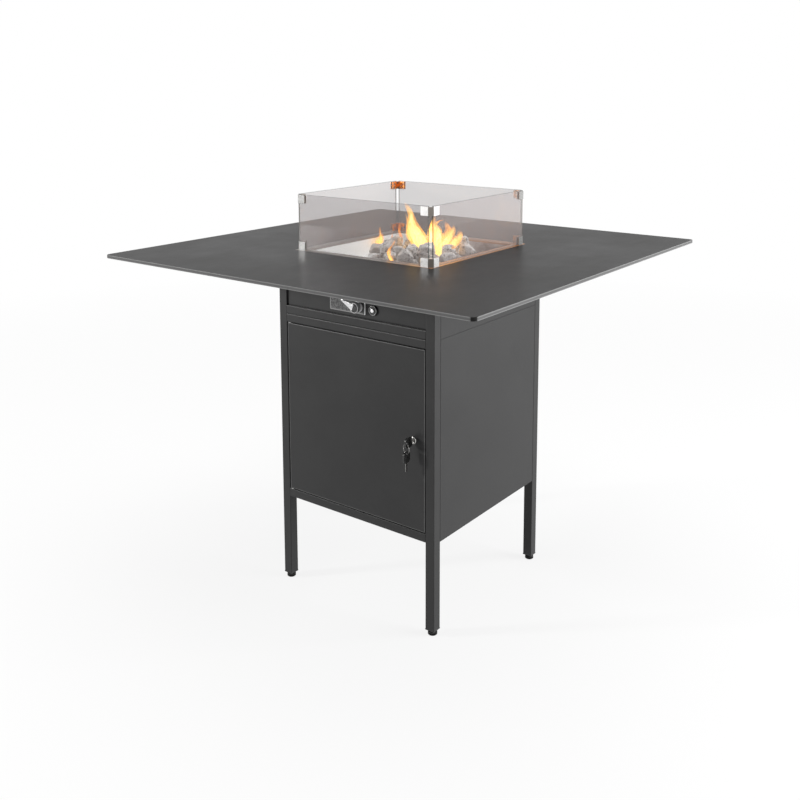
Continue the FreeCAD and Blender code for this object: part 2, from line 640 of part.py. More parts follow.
def make_keys():
    """The key in the lock, the ring through its bow, and the spare key that hangs on the ring."""
    blade_long = "key_depth + key_shoulder"
    part(key_blade("key_blade", blade_long, ("lock_x", "0 - bow_front", "lock_z"), TURNS["back"]),
         "key_blade")
    middle = ("lock_x", "0 - bow_front - bow_long / 2", "lock_z")
    part(key_bow("key_bow", "bow_long", "bow_wide", middle, "lock_z"), "key_bow")
    ring = doc.addObject("Part::Torus", "key_ring")
    bind(ring, "Radius1", "ring_radius")
    bind(ring, "Radius2", "ring_wire")
    turn = Rotation(Vector(0, 0, 1), -get("ring_turn")).multiply(TURNS["front"])
    part(seat(ring, ("lock_x", "ring_y", "ring_z"), turn), "key_ring")
    top = "spare_z + bow_hole_edge"
    middle = ("lock_x", "ring_y", f"{top} - bow_long / 2")
    part(key_bow("spare_key_bow", "bow_wide", "bow_long", middle, "spare_z"), "spare_key_bow")
    under = ("lock_x", "ring_y", f"{top} - bow_long")
    part(key_blade("spare_key_blade", "spare_blade", under, TURNS["down"]), "spare_key_blade")


def make_control_fascia():
    """The recessed sheet between the posts of the burner box, and the plate round the knob."""
    wide, high = "opening", "slab_rail_under - box_rail_top"
    outer = block("fascia_outer", (wide, "fold_deep", high), ("0", "0 - fascia_front", "box_rail_top"), "x")
    inner = block("fascia_inner", (f"{wide} - 2 * sheet_thick", "fold_deep", f"{high} + 2"),
                  ("0", "0 - fascia_back", "box_rail_top - 1"), "x")
    valve = rod("fascia_valve_hole", "nose_radius", "sheet_thick * 3",
                ("valve_x", "0 - fascia_back + sheet_thick", "valve_z"), "front")
    igniter = rod("fascia_igniter_hole", "igniter_neck", "sheet_thick * 3",
                  ("igniter_x", "0 - fascia_back + sheet_thick", "igniter_z"), "front")
    part(cut("control_fascia", outer, [inner, valve, igniter]), "control_fascia")
    plate = rounded_block("plate_solid", ("plate_wide", "plate_high", "plate_thick"), ("0", "0", "0"),
                          "plate_corner", "xy")
    seat(plate, ("plate_x", "0 - fascia_front", "plate_z"), TURNS["front"])
    hole = rod("plate_hole", "nose_radius", "plate_thick * 3",
               ("valve_x", "plate_thick - fascia_front", "valve_z"), "front")
    part(cut("control_plate", plate, [hole]), "control_plate")


def flatted_rod(name, radius, flat, length, start):
    """A rod on the valve's axis with a flat on its upper side, so that what it fits turns with it."""
    solid = rod(name + "_round", radius, length, ("valve_x", start, "valve_z"), "front")
    off = block(name + "_off", (f"2 * ({radius})", length, radius),
                ("valve_x", f"{start} - ({length})", f"valve_z + {flat}"), "x")
    return cut(name, solid, [off])


def make_valve():
    """The gas valve behind the fascia, its turning rotor, and the spindle that the knob pushes."""
    rear = ("valve_x", "0 - valve_rear", "valve_z")
    nose_long = "sheet_thick + plate_thick + nose_proud"
    solid = turned("valve_solid", [
        ("valve_radius", "valve_radius", "valve_long"),
        ("nose_radius", "nose_radius", nose_long),
    ], rear, "front")
    boss = rod("valve_boss", "boss_radius", "boss_long", ("valve_x", "0 - inlet_y", "valve_z"), "down")
    cavity_start = "0 - valve_rear - rotor_start"
    cavity = rod("valve_cavity", "rotor_radius + run_fit", "rotor_long", ("valve_x", cavity_start, "valve_z"),
                 "front")
    bore_long = f"valve_long + {nose_long} - rotor_start - rotor_long + 1"
    bore = rod("valve_bore", "spindle_radius + run_fit", bore_long,
               ("valve_x", f"{cavity_start} - rotor_long + 0.5", "valve_z"), "front")
    entry = rod("valve_entry", "inlet_barb", "boss_long - rotor_radius + 3",
                ("valve_x", "0 - inlet_y", "inlet_top - 1"))
    outlet = rod("valve_outlet", "pipe_radius - pipe_wall", "rotor_start + pipe_radius",
                 ("valve_x - pipe_offset", "0 - valve_rear", "valve_z"), "front")
    part(cut("valve_body", join("valve_shell", [solid, boss]), [cavity, bore, entry, outlet]), "valve_body")
    rotor = rod("rotor_solid", "rotor_radius", "rotor_long - 2 * run_fit",
                ("valve_x", f"{cavity_start} - run_fit", "valve_z"), "front")
    rotor_front = f"{cavity_start} - rotor_long + run_fit"
    socket = flatted_rod("rotor_socket", "spindle_radius + run_fit", "spindle_flat + run_fit", "rotor_bore",
                         f"{rotor_front} + rotor_bore")
    part(cut("valve_rotor", rotor, [socket]), "valve_rotor")
    start = f"{rotor_front} + rotor_bore - spindle_spare"
    length = f"knob_rear + knob_skirt + spindle_grip + ({start})"
    part(flatted_rod("valve_spindle", "spindle_radius", "spindle_flat", length, start), "valve_spindle")


def make_knob():
    """A round hub with a long tapered lever, hollow at its back to clear the valve's nose."""
    rear = ("valve_x", "0 - knob_rear", "valve_z")
    hub = turned("knob_hub", [
        ("knob_radius", "knob_radius", "knob_long - 1.5"),
        ("knob_radius", "knob_radius - 1.5", "1.5"),
    ], rear, "front")
    skirt = rod("knob_skirt_cut", "knob_skirt_bore", "knob_skirt", rear, "front")
    grip = flatted_rod("knob_bore", "spindle_radius", "spindle_flat", "knob_skirt + spindle_grip", rear[1])
    part(cut("control_knob", join("knob_solid", [hub, knob_lever()]), [skirt, grip]), "control_knob")


def knob_lever():
    """The lever: a bar that narrows from the hub to a round tip, turned to its rest angle."""
    body = doc.addObject("PartDesign::Body", "lever_body")
    sketch = body.newObject("Sketcher::SketchObject", "lever_outline")
    plane = [item for item in body.Origin.OriginFeatures if item.Role == "XY_Plane"][0]
    sketch.AttachmentSupport = [(plane, "")]
    sketch.MapMode = "FlatFace"
    root, tip, reach = get("lever_root") / 2, get("lever_tip") / 2, get("lever_reach")
    corners = [Vector(0, -root, 0), Vector(reach, -tip, 0), Vector(reach, tip, 0), Vector(0, root, 0)]
    for start, end in zip(corners, corners[1:] + corners[:1]):
        sketch.addGeometry(Part.LineSegment(start, end), False)
    for side in range(4):
        sketch.addConstraint(Sketcher.Constraint("Coincident", side, 2, (side + 1) % 4, 1))
    sketch.addConstraint(Sketcher.Constraint("Symmetric", 3, 1, 3, 2, -1, 1))
    sketch.addConstraint(Sketcher.Constraint("Symmetric", 1, 1, 1, 2, -1))
    for label, kind, first, last, text in (
            ("root", "DistanceY", (3, 2), (3, 1), "lever_root"),
            ("tip", "DistanceY", (1, 1), (1, 2), "lever_tip"),
            ("reach", "DistanceX", (-1, 1), (1, 1), "lever_reach - lever_tip / 2")):
        index = sketch.addConstraint(Sketcher.Constraint(kind, *first, *last, 10.0))
        sketch.renameConstraint(index, label)
        bind(sketch, f"Constraints.{label}", text)
    pad(body, "lever_bar", sketch, "lever_thick")
    end = rod("lever_tip_round", "lever_tip / 2", "lever_thick", ("lever_reach - lever_tip / 2", "0", "0"))
    bar = join("lever_solid", [body, end])
    turn = TURNS["front"].multiply(Rotation(Vector(0, 0, 1), get("lever_angle")))
    return seat(bar, ("valve_x", "0 - knob_rear - knob_long + 1.5 + lever_thick", "valve_z"), turn)


def make_igniter():
    """The spark igniter: a case through the fascia with a collar in front, and its push button."""
    rear = ("igniter_x", "0 - fascia_back + igniter_long", "igniter_z")
    case = turned("igniter_case", [
        ("igniter_radius", "igniter_radius", "igniter_long"),
        ("igniter_neck", "igniter_neck", "sheet_thick"),
        ("collar_radius", "collar_radius", "collar_thick - collar_bevel"),
        ("collar_radius", "collar_radius - collar_bevel", "collar_bevel"),
    ], rear, "front")
    button_rear = "button_long - button_proud - fascia_front - collar_thick"
    bore = rod("igniter_bore", "button_radius + run_fit", "button_long + button_travel + 1",
               ("igniter_x", f"{button_rear} + button_travel + 0.5", "igniter_z"), "front")
    part(cut("igniter_body", case, [bore]), "igniter_body")
    part(turned("igniter_button", [
        ("button_radius", "button_radius", "button_long - 1"),
        ("button_radius", "button_radius - 1", "1"),
    ], ("igniter_x", button_rear, "igniter_z"), "front"), "igniter_button")


def bent_pipe(name, points, radius, bore, bend):
    """A tube along straight runs joined by tangent arcs."""
    edges = []
    start = points[0]
    for before, corner, after in zip(points, points[1:], points[2:]):
        back, ahead = (before - corner).normalize(), (after - corner).normalize()
        half = back.getAngle(ahead) / 2
        reach = bend / math.tan(half)
        middle = corner + (back + ahead).normalize() * (bend / math.sin(half) - bend)
        first, last = corner + back * reach, corner + ahead * reach
        edges += [Part.LineSegment(start, first).toShape(), Part.Arc(first, middle, last).toShape()]
        start = last
    edges.append(Part.LineSegment(start, points[-1]).toShape())
    path = Part.Wire(edges)
    direction = points[1] - points[0]
    skins = [path.makePipeShell([Part.Wire(Part.makeCircle(size, points[0], direction))], True, False)
             for size in (radius, bore)]
    item = doc.addObject("Part::Feature", name)
    item.Shape = skins[0].cut(skins[1])
    item.Placement = Placement()
    return item


def make_gas_path():
    """The inlet under the valve, the pipe to the middle of the burner, and the injector there."""
    top = ("valve_x", "0 - inlet_y", "inlet_top")
    nipple = turned("inlet_solid", [
        ("inlet_hex", "inlet_hex", "inlet_hex_high"),
        ("inlet_barb", "inlet_barb", "inlet_barb_long - 2"),
        ("inlet_barb", "inlet_barb - 1.5", "2"),
    ], top, "down")
    way = rod("inlet_way", "inlet_bore", "inlet_hex_high + inlet_barb_long", top, "down")
    part(cut("gas_inlet", nipple, [way]), "gas_inlet")
    level = get("valve_z")
    start = get("valve_x") - get("pipe_offset")
    rear, end = -get("valve_rear"), -get("injector_reach")
    run = (end - rear) / 3
    points = [Vector(start, rear, level), Vector(start, rear + run, level),
              Vector(0, rear + 2 * run, level), Vector(0, end, level)]
    part(bent_pipe("gas_pipe", points, get("pipe_radius"), get("pipe_radius") - get("pipe_wall"),
                   get("pipe_bend")), "gas_pipe")
    foot = ("0", "0", "injector_top - injector_high")
    body = turned("injector_solid", [
        ("injector_radius", "injector_radius", "injector_high"),
        ("nozzle_radius", "nozzle_radius", "nozzle_high - 2"),
        ("nozzle_radius", "nozzle_radius - 2", "2"),
    ], foot)
    arm = rod("injector_arm", "injector_inlet", "injector_reach",
              ("0", "0 - injector_reach", "valve_z"), "back")
    inner = rod("injector_way", "pipe_radius - pipe_wall", "injector_reach",
                ("0", "0 - injector_reach", "valve_z"), "back")
    rise = rod("injector_jet", "pipe_radius - pipe_wall", "nozzle_high + injector_top - valve_z - 2",
               ("0", "0", "valve_z"))
    jet = rod("injector_hole", "1", "10", ("0", "0", "injector_top + nozzle_high - 8"))
    part(cut("gas_injector", join("injector_shell", [body, arm]), [inner, rise, jet]), "gas_injector")


def make_tray():
    """The stainless pan that hangs in the cut-out by its flange, with holes for mixer and spark."""
    flange = block("tray_flange", ("flange_side", "flange_side", "tray_sheet"),
                   ("0", "0", "table_height - tray_sheet"), "xy")
    wide = "tray_side + 2 * tray_sheet"
    tub = rounded_block("tray_tub", (wide, wide, "tray_deep + tray_sheet"), ("0", "0", "tray_under"),
                        "tray_corner", "xy")
    hollow = rounded_block("tray_hollow", ("tray_side", "tray_side", "tray_deep + 10"),
                           ("0", "0", "tray_floor"), "tray_corner", "xy")
    mixer = rod("tray_mixer_hole", "mixer_radius + floor_clear", "tray_sheet * 3",
                ("0", "0", "tray_under - tray_sheet"))
    spark = rod("tray_spark_hole", "spark_radius", "tray_sheet * 3",
                ("spark_x", "spark_y", "tray_under - tray_sheet"))
    part(cut("burner_tray", join("tray_solid", [flange, tub]), [hollow, mixer, spark]), "burner_tray")


def make_burner():
    """A square ring of tube on four feet, fed across its middle by the mixer tube."""
    reach = "burner_side / 2"

    def skeleton(name, radius):
        bars = []
        for sign in (-1, 1):
            offset = signed(sign, reach)
            bars.append(rod(f"{name}_x{sign}", radius, "burner_side", (f"0 - {reach}", offset, "burner_z"),
                            "right"))
            bars.append(rod(f"{name}_y{sign}", radius, "burner_side", (offset, f"0 - {reach}", "burner_z"),
                            "back"))
            for other in (-1, 1):
                ball = doc.addObject("Part::Sphere", f"{name}_corner{sign}{other}")
                bind(ball, "Radius", radius)
                bars.append(seat(ball, (offset, signed(other, reach), "burner_z")))
        bars.append(rod(f"{name}_feed", radius, "burner_side", (f"0 - {reach}", "0", "burner_z"), "right"))
        return bars

    foot_top = "burner_rise - burner_tube / 2"
    feet = [block(f"burner_foot_{corner}", ("burner_tube", "burner_tube", foot_top),
                  (signed(sx, "burner_side / 4"), signed(sy, reach), "tray_floor"), "xy")
            for corner, (sx, sy) in CORNERS.items()]
    mixer = rod("mixer_outer", "mixer_radius", "burner_z - injector_top", ("0", "0", "injector_top"))
    mixer_bore = rod("mixer_bore", "mixer_radius - mixer_wall",
                     "burner_z - injector_top + 1 - 2 * burner_wall", ("0", "0", "injector_top - 1"))
    air_z = "injector_top + 18"
    air = [rod("air_hole_x", "air_hole", "mixer_radius * 3", ("0 - mixer_radius * 1.5", "0", air_z), "right"),
           rod("air_hole_y", "air_hole", "mixer_radius * 3", ("0", "0 - mixer_radius * 1.5", air_z), "back")]
    ports = []
    for step in range(-4, 5):
        place = f"{step} * burner_side / 10"
        for sign in (-1, 1):
            ports.append(rod(f"port_x_{step}_{sign}", "port_radius", "burner_tube * 2",
                             (place, signed(sign, reach), "burner_z")))
            ports.append(rod(f"port_y_{step}_{sign}", "port_radius", "burner_tube * 2",
                             (signed(sign, reach), place, "burner_z")))
    outer = join("burner_outer", skeleton("burner_skin", "burner_tube") + feet + [mixer])
    hollow = skeleton("burner_way", "burner_tube - burner_wall") + [mixer_bore] + air + ports
    part(cut("burner", outer, hollow), "burner")


def make_spark():
    """The ceramic spark electrode, held by its flange under the tray's floor."""
    part(turned("spark_electrode", [
        ("spark_radius - 1", "spark_radius - 1", "8"),
        ("spark_flange", "spark_flange", "2"),
        ("spark_radius", "spark_radius", "tray_sheet + spark_high - 6"),
        ("1", "1", "6"),
    ], ("spark_x", "spark_y", "tray_under - 10")), "spark_electrode")


def rough_stone(radius, chance):
    """Corners and faces of a broken lump: a squashed twenty-sided solid, its corners moved in or out."""
    golden = (1 + math.sqrt(5)) / 2
    corners = []
    for first in (-1, 1):
        for second in (-golden, golden):
            corners += [(0, first, second), (first, second, 0), (second, 0, first)]
    turn = Rotation(chance.uniform(0, 360), chance.uniform(0, 360), chance.uniform(0, 360))
    spin = Rotation(Vector(0, 0, 1), chance.uniform(0, 360))
    squash = (chance.uniform(0.95, 1.15), chance.uniform(0.8, 0.95), chance.uniform(0.62, 0.75))
    faces = [(a, b, c) for a in range(12) for b in range(a) for c in range(b)
             if all(math.dist(corners[p], corners[q]) < 2.1 for p, q in ((a, b), (b, c), (a, c)))]
    points = []
    for corner in corners:
        point = turn.multVec(Vector(*corner).normalize()) * radius * chance.uniform(0.86, 1.1)
        points.append(spin.multVec(Vector(point.x * squash[0], point.y * squash[1], point.z * squash[2])))
    return points, faces


def bar_facets(start, end, radius):
    """Corners and faces of a twelve-sided bar that encloses a round one."""
    along = (end - start).normalize()
    side = along.cross(Vector(0, 0, 1) if abs(along.z) < 0.5 else Vector(1, 0, 0)).normalize()
    other = along.cross(side)
    reach = radius / math.cos(math.pi / 12)
    points = []
    for centre in (start, end):
        for step in range(12):
            angle = math.pi * step / 6
            points.append(centre + side * reach * math.cos(angle) + other * reach * math.sin(angle))
    faces = []
    for step in range(12):
        after = (step + 1) % 12
        faces += [(step, after, step + 12), (after, after + 12, step + 12)]
        faces += [(0, step, after), (12, step + 12, after + 12)] if 0 < step < 11 else []
    return points, faces


def facets(points, faces, upper):
    """The upper or the lower side of a faceted solid: its corners, triangles and edges."""
    middle = sum(points, Vector()) * (1 / len(points))
    chosen = []
    for face in faces:
        first, second, third = (points[i] for i in face)
        normal = (second - first).cross(third - first)
        outward = normal * (1 if normal.dot(first - middle) > 0 else -1)
        if (outward.z > 0) == upper:
            chosen.append(face)
    plain = [tuple(point) for point in points]
    pairs = {tuple(sorted(pair)) for a, b, c in chosen for pair in ((a, b), (b, c), (a, c))}
    return ([plain[i] for i in {i for face in chosen for i in face}],
            [tuple(plain[i] for i in face) for face in chosen], [(plain[i], plain[j]) for i, j in pairs])


def level_at(face, x, y):
    """Height of a triangle over a place in the plan, or none outside it."""
    (ax, ay, az), (bx, by, bz), (cx, cy, cz) = face
    area = (bx - ax) * (cy - ay) - (cx - ax) * (by - ay)
    if abs(area) < 1e-9:
        return None
    first = ((bx - x) * (cy - y) - (cx - x) * (by - y)) / area
    second = ((cx - x) * (ay - y) - (ax - x) * (cy - y)) / area
    third = 1 - first - second
    return None if min(first, second, third) < 0 else first * az + second * bz + third * cz


def drop_at_crossing(high, low):
    """Height between two edges where they cross in the plan, or none."""
    (ax, ay, az), (bx, by, bz) = high
    (cx, cy, cz), (dx, dy, dz) = low
    turn = (bx - ax) * (dy - cy) - (by - ay) * (dx - cx)
    if abs(turn) < 1e-9:
        return None
    share = ((cx - ax) * (dy - cy) - (cy - ay) * (dx - cx)) / turn
    other = ((cx - ax) * (by - ay) - (cy - ay) * (bx - ax)) / turn
    if not (0 <= share <= 1 and 0 <= other <= 1):
        return None
    return az + share * (bz - az) - cz - other * (dz - cz)


def fall(high, low):
    """How far a faceted solid can come straight down before it meets another one under it."""
    drops = []
    for x, y, z in high[0]:
        drops += [z - level for level in (level_at(face, x, y) for face in low[1]) if level is not None]
    for x, y, z in low[0]:
        drops += [level - z for level in (level_at(face, x, y) for face in high[1]) if level is not None]
    for edge in high[2]:
        crossings = (drop_at_crossing(edge, under) for under in low[2])
        drops += [drop for drop in crossings if drop is not None]
    return min(drops, default=math.inf)


def stone_places(chance):
    """Where stones are let go, in rows that shift from one round to the next."""
    pitch = get("stone_pitch")
    half_x, half_y = get("pile_x") / 2, get("pile_y") / 2
    middle = Vector(get("pile_middle_x"), get("pile_middle_y"), 0)
    rows = int(2 * half_y / pitch) + 1
    for layer, share in enumerate((1.0, 0.95, 0.85, 0.7)):
        for row in range(-rows, rows + 1):
            for column in range(-rows, rows + 1):
                x = (column + 0.5 * ((row + layer) % 2)) * pitch + chance.uniform(-6, 6)
                y = (row + 0.5 * layer) * pitch * 0.87 + chance.uniform(-6, 6)
                if abs(x / half_x) ** 3 + abs(y / half_y) ** 3 < share ** 3:
                    yield middle + Vector(x, y, get("table_height") + 3 * pitch)


def clear_of_walls(points):
    """The sideways step that keeps a stone off the tray's walls."""
    limit = get("tray_side") / 2 - 1
    step = []
    for axis in (0, 1):
        low, high = min(point[axis] for point in points), max(point[axis] for point in points)
        step.append(min(0, limit - high) + max(0, -limit - low))
    return Vector(step[0], step[1], 0)


def burner_bars():
    """Enclosing bars of the burner's tubes and of the spark electrode."""
    level, reach, radius = get("burner_z"), get("burner_side") / 2, get("burner_tube")
    spark = Vector(get("spark_x"), get("spark_y"), get("tray_floor"))
    bars = [bar_facets(Vector(-reach, 0, level), Vector(reach, 0, level), radius),
            bar_facets(spark, spark + Vector(0, 0, get("spark_high")), get("spark_radius"))]
    for sign in (-1, 1):
        side = sign * reach
        for ends in ((-reach, side, reach, side), (side, -reach, side, reach)):
            low, high = Vector(ends[0], ends[1], level), Vector(ends[2], ends[3], level)
            bars.append(bar_facets(low, high, radius))
    return bars


def make_stones():
    """Lava stones over the burner, each let down until it meets what is under it."""
    chance = random.Random(20)
    floor, limit = get("tray_floor"), get("table_height") + get("pile_rise")
    laid = [(facets(*bar, upper=True), Vector(), math.inf) for bar in burner_bars()]
    pile = []
    for place in stone_places(chance):
        points, faces = rough_stone(chance.uniform(get("stone_small"), get("stone_large")), chance)
        place = place + clear_of_walls([point + place for point in points])
        reach = max(math.hypot(point.x, point.y) for point in points)
        points = [point + place for point in points]
        below = facets(points, faces, upper=False)
        depth = min(point.z for point in points) - floor
        for other, middle, size in laid:
            if math.hypot(middle.x - place.x, middle.y - place.y) < reach + size:
                depth = min(depth, fall(below, other))
        shift = Vector(0, 0, get("stone_seat") - depth)
        points = [point + shift for point in points]
        if max(point.z for point in points) > limit:
            continue
        laid.append((facets(points, faces, upper=True), place, reach))
        triangles = [Part.Face(Part.makePolygon([points[i] for i in face + face[:1]])) for face in faces]
        solid = Part.makeSolid(Part.makeShell(triangles))
        if solid.Volume < 0:
            solid.reverse()
        pile.append(solid)
    item = doc.addObject("Part::Feature", "lava_stones")
    item.Shape = Part.Compound(pile)
    item.Placement = Placement()
    part(item, "lava_stones")


def clip(name, low, high, open_below):
    """A corner clip for the near right corner: an angle with a bevelled edge and two glass slots."""
    outer = [block(f"{name}_x", ("clip_reach", "guard_depth", high),
                   ("guard_half - clip_reach", "0 - guard_half", low)),
             block(f"{name}_y", ("guard_depth", "clip_reach", high),
                   ("guard_half - guard_depth", "0 - guard_half", low))]
    slot = "glass_thick + clip_grip"
    floor = low if open_below else f"{low} + clip_floor"
    deep = "clip_reach - glass_inset + clip_grip"
    slots = [block(f"{name}_slot_x", (f"{deep} + 1", slot, f"{high} + 1"),
                   ("guard_half - clip_reach - 1", "clip_wall - guard_half", floor)),
             block(f"{name}_slot_y", (slot, f"{deep} + 1", f"{high} + 1"),
                   ("guard_half - clip_wall - glass_thick - clip_grip",
                    f"clip_reach - guard_half - ({deep})", floor))]
    bevel = block(f"{name}_bevel", ("clip_bevel * 2", "clip_bevel * 2", f"{high} + 2"))
    turn = Rotation(Vector(0, 0, 1), 45)
    seat(bevel, ("guard_half + clip_bevel * 0.2", "0 - guard_half - clip_bevel * 1.6284", f"{low} - 1"), turn)
    return cut(name, join(name + "_angle", outer), slots + [bevel])


def four_corners():
    return [Placement(Vector(), Rotation(Vector(0, 0, 1), 90 * step)) for step in range(4)]


def make_guard():
    """Four panes held at their corners by eight metal clips with grub screws."""
    low_clip = clip("low_clip", "guard_low", "clip_high", open_below=False)
    high_clip = clip("high_clip", "guard_low + guard_high - clip_drop - clip_high", "clip_high",
                     open_below=True)
    screw = rod("grub_screw", "grub_radius", "clip_wall + clip_grip",
                ("guard_half - (clip_reach + glass_inset) / 2", "guard_depth - guard_half",
                 "guard_low + clip_high / 2"), "front")
    side_screw = rod("grub_screw_side", "grub_radius", "clip_wall + clip_grip",
                     ("guard_half - guard_depth", "(clip_reach + glass_inset) / 2 - guard_half",
                      "guard_low + clip_high / 2"), "right")
    screws = group("grub_pair", [screw, side_screw])
    rise = Placement(Vector(0, 0, get("guard_high") - get("clip_drop") - get("clip_high")), Rotation())
    lower_clips = cut("low_clip_drilled", low_clip, [screws])
    part(copies("guard_lower_clips", lower_clips, four_corners()), "guard_lower_clips")
    lifted = copies("grub_pair_high", screws, [rise])
    upper_clips = cut("high_clip_drilled", high_clip, [lifted])
    part(copies("guard_upper_clips", upper_clips, four_corners()), "guard_upper_clips")
    places = four_corners() + [rise.multiply(corner) for corner in four_corners()]
    part(copies("guard_grub_screws", screws, places), "guard_grub_screws")
    floor = "guard_low + clip_floor"
    high = "guard_high - clip_floor"
    for side, sign in (("front", -1), ("rear", 1)):
        start = "0 - glass_half" if sign < 0 else "glass_half - glass_thick"
        part(block(f"glass_{side}", ("glass_long", "glass_thick", high), ("0", start, floor), "x"),
             f"glass_{side}")
    for side, sign in (("left", -1), ("right", 1)):
        start = "0 - glass_half" if sign < 0 else "glass_half - glass_thick"
        part(block(f"glass_{side}", ("glass_thick", "glass_long", high), (start, "0", floor), "y"),
             f"glass_{side}")


def write_parts():
    """Check every object of the document, then write each sub-part to its own file."""
    doc.recompute()
    for item in doc.Objects:
        if {"Invalid", "Error"} & set(item.State):
            raise RuntimeError(f"{item.Label} did not recompute: {item.State}")
    for item in PARTS:
        if item.Shape.isNull() or not item.Shape.isValid() or not item.Shape.Solids:
            raise RuntimeError(f"{item.Label} has no valid solid")
    os.makedirs("parts", exist_ok=True)
    for item in PARTS:
        item.Shape.exportStep(f"parts/{item.Label}.step")
    print(len(PARTS), "parts,", sum(len(item.Shape.Solids) for item in PARTS), "solids")


make_legs()
make_cabinet_frame()
make_burner_box_frame()
make_panels()
make_floors()
make_door()
make_pivots()
make_door_stop()
make_lock()
make_keys()
make_control_fascia()
make_valve()
make_knob()
make_igniter()
make_gas_path()
make_tabletop()
make_bolts()
make_tray()
make_burner()
make_spark()
make_stones()
make_guard()
write_parts()
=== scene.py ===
import json
import math
import random
import bmesh
import bpy
from mathutils import Matrix, Vector, noise


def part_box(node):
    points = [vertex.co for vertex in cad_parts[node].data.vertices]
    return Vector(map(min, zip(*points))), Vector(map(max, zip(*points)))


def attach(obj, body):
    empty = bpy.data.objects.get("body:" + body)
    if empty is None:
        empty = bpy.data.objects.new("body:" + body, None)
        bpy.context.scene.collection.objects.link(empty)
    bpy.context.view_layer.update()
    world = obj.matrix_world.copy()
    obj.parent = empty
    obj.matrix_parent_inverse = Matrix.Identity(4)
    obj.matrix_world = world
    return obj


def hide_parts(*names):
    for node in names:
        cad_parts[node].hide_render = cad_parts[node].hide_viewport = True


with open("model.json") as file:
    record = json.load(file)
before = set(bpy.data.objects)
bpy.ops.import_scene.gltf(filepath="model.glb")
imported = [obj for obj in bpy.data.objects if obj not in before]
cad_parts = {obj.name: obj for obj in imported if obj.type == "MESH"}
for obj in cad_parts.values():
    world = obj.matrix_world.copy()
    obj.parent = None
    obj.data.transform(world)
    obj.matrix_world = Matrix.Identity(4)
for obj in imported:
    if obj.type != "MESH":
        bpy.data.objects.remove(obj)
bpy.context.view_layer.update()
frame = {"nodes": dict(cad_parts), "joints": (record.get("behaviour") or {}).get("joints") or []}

# Camera
# The table is seen from the front and its right, from a little above the slab. Its posts stay almost
# upright in the picture, which a small downward shift of the lens gives.
eye = bpy.data.cameras.new("eye")
eye.lens = 43.177
eye.shift_x = -0.01025
eye.shift_y = -0.23
eye.clip_end = 200
viewer = bpy.data.objects.new("viewer", eye)
viewer.location = (1.7443, -2.3497, 1.5505)
viewer.rotation_euler = (math.pi / 2 - 0.13739, 0.0014, 0.64262)
bpy.context.scene.collection.objects.link(viewer)
bpy.context.scene.camera = viewer
bpy.context.scene.view_settings.view_transform = "Standard"


# Studio
# A pale floor under a white surround, two large soft lamps, a small one at the left front, and a low
# ambient light. The floor and the surround look white where they are seen or mirrored, and the floor keeps
# the table's soft shadow.
class Reading:
    """One value in a finish. Arithmetic on it adds Math nodes."""

    def __init__(self, finish, socket):
        self.finish = finish
        self.socket = socket

    def worked(self, operation, first, second):
        return self.finish.node("ShaderNodeMath", {"operation": operation}, {0: first, 1: second})

    def __add__(self, other):
        return self.worked("ADD", self, other)

    def __radd__(self, other):
        return self.worked("ADD", other, self)

    def __sub__(self, other):
        return self.worked("SUBTRACT", self, other)

    def __rsub__(self, other):
        return self.worked("SUBTRACT", other, self)

    def __mul__(self, other):
        return self.worked("MULTIPLY", self, other)

    def __rmul__(self, other):
        return self.worked("MULTIPLY", other, self)


class Finish:
    """A surface finish that is being mixed, node by node."""

    def __init__(self, owner):
        self.owner = owner
        owner.use_nodes = True
        self.tree = owner.node_tree

    def node(self, kind, settings=None, sockets=None, output=0):
        made = self.tree.nodes.new(kind)
        for name, value in (settings or {}).items():
            if name == "stops":
                for spare in list(made.color_ramp.elements)[1:]:
                    made.color_ramp.elements.remove(spare)
                made.color_ramp.elements[0].position = value[0][0]
                made.color_ramp.elements[0].color = value[0][1]
                for at, colour in value[1:]:
                    made.color_ramp.elements.new(at).color = colour
            else:
                setattr(made, name, value)
        for name, value in (sockets or {}).items():
            self.feed(made.inputs[name], value)
        return Reading(self, made.outputs[output]) if made.outputs else None

    def feed(self, socket, value):
        if isinstance(value, Reading):
            self.tree.links.new(value.socket, socket)
        else:
            socket.default_value = value

    def clear(self):
        self.tree.nodes.clear()

    def surface(self, reading):
        world = isinstance(self.owner, bpy.types.World)
        output = "ShaderNodeOutputWorld" if world else "ShaderNodeOutputMaterial"
        self.node(output, None, {"Surface": reading})


def seen_directly(finish):
    """1 for what the camera, a mirror or a pane shows, 0 for what lights the table."""
    path = "ShaderNodeLightPath"
    camera = finish.node(path, None, None, "Is Camera Ray")
    mirrored = finish.node(path, None, None, "Is Glossy Ray")
    through = finish.node(path, None, None, "Is Transmission Ray")
    return finish.node("ShaderNodeMath", {"operation": "ADD", "use_clamp": True},
                       {0: camera + mirrored, 1: through})


surround = Finish(bpy.data.worlds.new("surround"))
surround.clear()
ambient = surround.node("ShaderNodeBackground", None, {"Color": (1, 1, 1, 1), "Strength": 0.34})
white = surround.node("ShaderNodeBackground", None, {"Color": (1, 1, 1, 1), "Strength": 1.0})
shown = seen_directly(surround)
surround.surface(surround.node("ShaderNodeMixShader", None, {0: shown, 1: ambient, 2: white}))
bpy.context.scene.world = surround.owner

